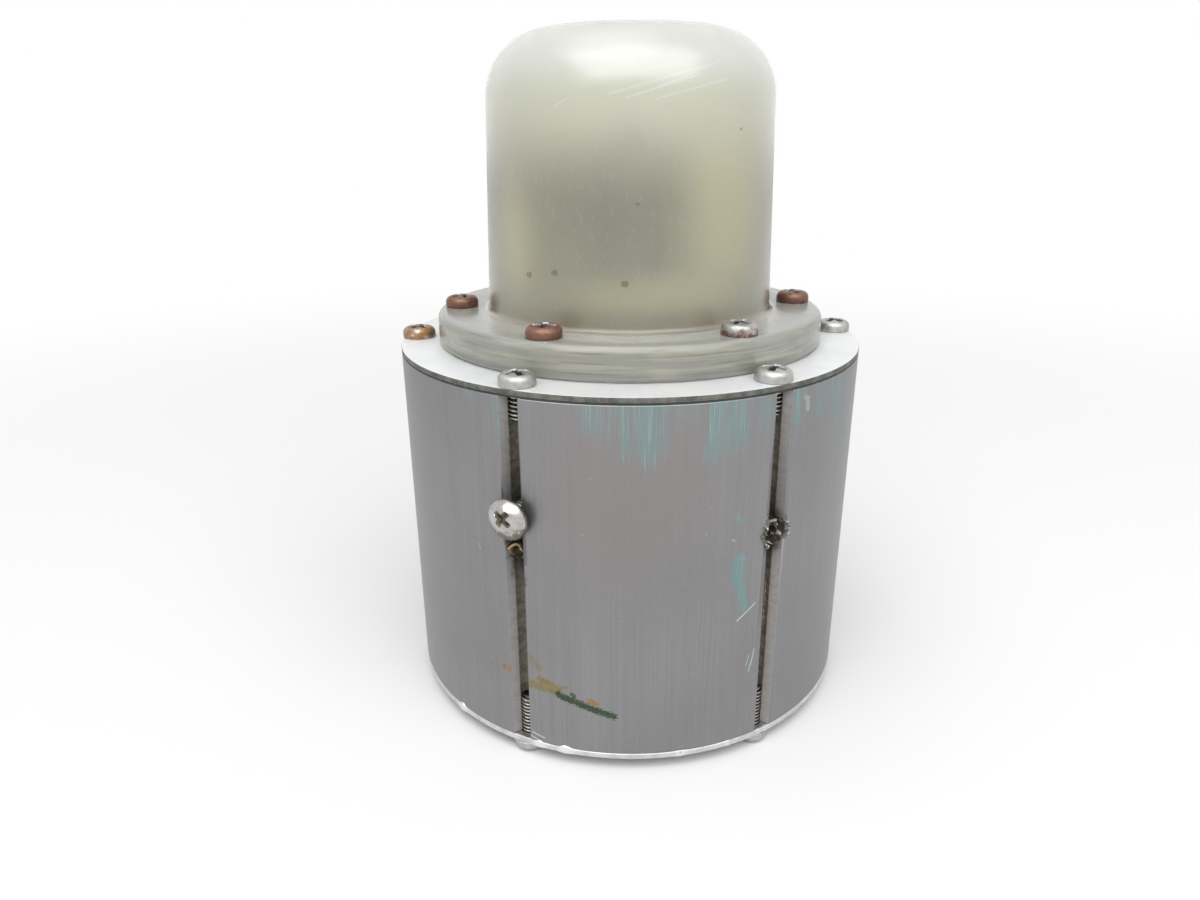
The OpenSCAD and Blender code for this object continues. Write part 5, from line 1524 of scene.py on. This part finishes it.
class BEACON_OT_wiring(bpy.types.Operator):
    """Lamp leads in shrunk sleeves, and the board's solder joints and tracks"""

    bl_idname = "beacon.wiring"
    bl_label = "Leads, joints and tracks"

    def execute(self, context):
        low, high = foot("lamp_leads") / MM, top("lamp_leads") / MM
        r, ring, count = 2.5, 6.5, 40
        outside = chain((1.5, low), (r - 0.25, low), arc((r - 0.25, low + 0.25), 0.25, -90, 0, 4), (r - 0.1, low + 2.2),
                        (r - 0.35, low + 3.4), (r - 0.2, high - 2.6), (r - 0.45, high - 0.3),
                        arc((r - 0.6, high - 0.2), 0.2, 0, 90, 4), (1.72, high), (1.72, high - 1.5))
        skin = Skin()
        for seed, angle in ((30, 90), (31, 210), (32, 330)):
            creased = 1 - 0.02 * np.abs(ripple(full_turn(count), 8, seed))[:, None]
            sleeve = lathe(full_turn(count), outside[:, 0] * creased, outside[:, 1])
            skin.grid((sleeve + channel_place(angle, ring, 0)) * MM, True, True)
        piece("lamp_lead_sleeves", skin, ["lead_sleeve"], "works", ["lamp_leads"])
        face = top("circuit_board") / MM
        pads = [(x, DIODE_Y + side * DIODE_SPAN / 2) for x in DIODE_X for side in (-1, 1)]
        pads += [(x + side * RESISTOR_SPAN / 2, y) for x, y in zip(RESISTOR_X, RESISTOR_Y) for side in (-1, 1)]
        pads += [(x, LEG_Y) for x in LEG_X]
        pads += OTHER_PADS
        cone = chain((0, 0), (1.25, 0), (1.0, 0.12), (0.66, 0.42), (0.5, 0.8), (0.42, 1.05), (0.24, 1.22), (0, 1.26))
        skin = Skin()
        for x, y in pads:
            skin.grid((revolve(cone, 16) + (x, y, face)) * MM)
        across, lift = np.array([-0.9, -0.82, 0.82, 0.9]), np.array([0, 0.06, 0.06, 0])
        for points in TRACKS:
            path = bent(points, 1.2)
            ahead = np.gradient(path, axis=0)
            ahead /= np.linalg.norm(ahead, axis=1, keepdims=True)
            x, y = path[:, :1] - ahead[:, 1:] * across, path[:, 1:] + ahead[:, :1] * across
            strip = np.stack(np.broadcast_arrays(x, y, face + lift), axis=-1)
            ends = np.broadcast_to(strip[[0, -1]].mean(axis=1, keepdims=True), (2, len(across), 3))
            skin.grid(np.concatenate([ends[:1], strip, ends[1:]]) * MM, False, True)
        piece("board_joints", skin, ["tinned_wire"], "works")
        return {"FINISHED"}


WHITE = (1, 1, 1, 1)
# Lights: name, kind, place in metres and power.
LIGHTS = (("overhead", "AREA", (0.03, -0.56, 0.86), 10.0), ("day", "SUN", (-0.4, -0.2, 1.8), 0.6))
# The camera's pitch, yaw, roll and swing round the beacon, in degrees, and its place before the swing, in millimetres.
CAMERA_TURNS = (20.41, -1.97, -0.34, -4.6)
CAMERA_PLACE = (0, -181.85, 115.82)


class BEACON_OT_stage(bpy.types.Operator):
    """Floor, soft lights, white surroundings and a camera at the photograph's angle"""

    bl_idname = "beacon.stage"
    bl_label = "Studio"

    def execute(self, context):
        scene = context.scene
        scene.view_settings.view_transform = "Standard"
        c = colours()
        side = np.linspace(-6, 6, 9)
        floor_points = np.stack(np.meshgrid(side, side, 0.0, indexing="ij"), axis=-1)[:, :, 0]
        floor = bpy.data.objects.new("floor", Skin().grid(floor_points, False).mesh("floor", 30))
        scene.collection.objects.link(floor)
        material, tree, shader = new_finish("floor_paint", roughness=0.85)
        place = object_place(tree)
        cloud = noise(tree, place, 3.0, 2.0)
        feed(tree, shader, base_color=mix(tree, cloud, tint(c.floor, 0.99), tint(c.floor, 1.01)))
        away = put(tree, "ShaderNodeVectorMath", {0: place}, operation="LENGTH").outputs["Value"]
        camera_ray = put(tree, "ShaderNodeLightPath").outputs["Is Camera Ray"]
        far = scaled(tree, ramp(tree, away, 0.12, 0.55), camera_ray)
        glow = put(tree, "ShaderNodeEmission", {"Color": WHITE, "Strength": 1.0})
        blend = put(tree, "ShaderNodeMixShader", {0: far, 1: shader.outputs[0], 2: glow.outputs[0]})
        tree.links.new(blend.outputs[0], tree.nodes["Material Output"].inputs["Surface"])
        floor.data.materials.append(material)
        world = bpy.data.worlds.new("white_room")
        world.use_nodes = True
        tree = world.node_tree
        tree.nodes.clear()
        path = put(tree, "ShaderNodeLightPath").outputs
        seen = strongest(tree, [path[kind] for kind in ("Is Camera Ray", "Is Glossy Ray", "Is Transmission Ray")])
        dim = put(tree, "ShaderNodeBackground", {"Color": WHITE, "Strength": 0.55})
        white = put(tree, "ShaderNodeBackground", {"Color": WHITE, "Strength": 1.0})
        both = put(tree, "ShaderNodeMixShader", {0: seen, 1: dim.outputs[0], 2: white.outputs[0]})
        put(tree, "ShaderNodeOutputWorld", {"Surface": both.outputs[0]})
        scene.world = world
        for name, kind, place, power in LIGHTS:
            light = bpy.data.lights.new(name, kind)
            light.energy = power
            if kind == "AREA":
                light.shape, light.size, light.size_y = "RECTANGLE", 1.5, 0.9
            else:
                light.angle = math.radians(50)
            lamp = bpy.data.objects.new(name, light)
            scene.collection.objects.link(lamp)
            lamp.location = place
            lamp.rotation_euler = (Vector((0, 0, 0.07)) - Vector(place)).to_track_quat("-Z", "Y").to_euler()
        pitch, yaw, roll, swing = (math.radians(turn) for turn in CAMERA_TURNS)
        ahead = Vector((math.sin(yaw) * math.cos(pitch), math.cos(yaw) * math.cos(pitch), -math.sin(pitch)))
        right = Vector((math.cos(yaw), -math.sin(yaw), 0))
        above = right.cross(ahead)
        tilt = Matrix((right * math.cos(roll) + above * math.sin(roll),
                       above * math.cos(roll) - right * math.sin(roll), -ahead)).transposed()
        spin = Matrix.Rotation(swing, 3, "Z")
        data = bpy.data.cameras.new("camera")
        data.sensor_width, data.lens, data.clip_start = 36.0, 25.81, 0.01
        camera = bpy.data.objects.new("camera", data)
        scene.collection.objects.link(camera)
        camera.matrix_world = Matrix.Translation(spin @ Vector(CAMERA_PLACE) * MM) @ (spin @ tilt).to_4x4()
        scene.camera = camera
        return {"FINISHED"}


class BEACON_OT_packed(bpy.types.Operator):
    """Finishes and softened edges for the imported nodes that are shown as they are, by their record slots"""

    bl_idname = "beacon.packed"
    bl_label = "Packed pieces"

    def execute(self, context):
        for row in frame["record"]["subparts"]:
            obj, slot = frame["nodes"][row["node"]], row["material_slot"]
            if obj.hide_render:
                continue
            obj.data.materials.clear()
            obj.data.materials.append(plate_finish() if slot == "plate_alloy" else record_finish(slot))
            weld = obj.modifiers.new("weld", "WELD")
            weld.merge_threshold = 2 * TOUCH
            bevel = obj.modifiers.new("soft_edge", "BEVEL")
            bevel.width, bevel.segments, bevel.angle_limit = 0.18 * MM, 2, math.radians(50)
        return {"FINISHED"}


OPERATORS = (
    BEACON_OT_stage, BEACON_OT_tube, BEACON_OT_base, BEACON_OT_wear, BEACON_OT_dome, BEACON_OT_screws, BEACON_OT_lamp,
    BEACON_OT_grommet, BEACON_OT_capacitors, BEACON_OT_coils, BEACON_OT_axials, BEACON_OT_transistor, BEACON_OT_wiring,
    BEACON_OT_packed,
)


class BEACON_PT_panel(bpy.types.Panel):
    """Lists the beacon's sizes, colours and steps"""

    bl_idname = "BEACON_PT_panel"
    bl_label = "Strobe beacon"
    bl_space_type = "VIEW_3D"
    bl_region_type = "UI"
    bl_category = "Beacon"

    def draw(self, context):
        for operator in OPERATORS:
            self.layout.operator(operator.bl_idname)
        for group in (context.scene.beacon_sizes, context.scene.beacon_colours):
            for key in group.__annotations__:
                self.layout.prop(group, key)


CLASSES = (BeaconSizes, BeaconColours, *OPERATORS, BEACON_PT_panel)


def register():
    """Adds the classes and their settings to Blender."""
    for cls in CLASSES:
        bpy.utils.register_class(cls)
    bpy.types.Scene.beacon_sizes = PointerProperty(type=BeaconSizes)
    bpy.types.Scene.beacon_colours = PointerProperty(type=BeaconColours)


def unregister():
    """Takes the settings and classes out again."""
    del bpy.types.Scene.beacon_colours
    del bpy.types.Scene.beacon_sizes
    for cls in reversed(CLASSES):
        bpy.utils.unregister_class(cls)


def main():
    """Builds every piece."""
    register()
    for operator in OPERATORS:
        group, name = operator.bl_idname.split(".")
        getattr(getattr(bpy.ops, group), name)()
    bpy.context.view_layer.update()


if __name__ == "__main__":
    main()
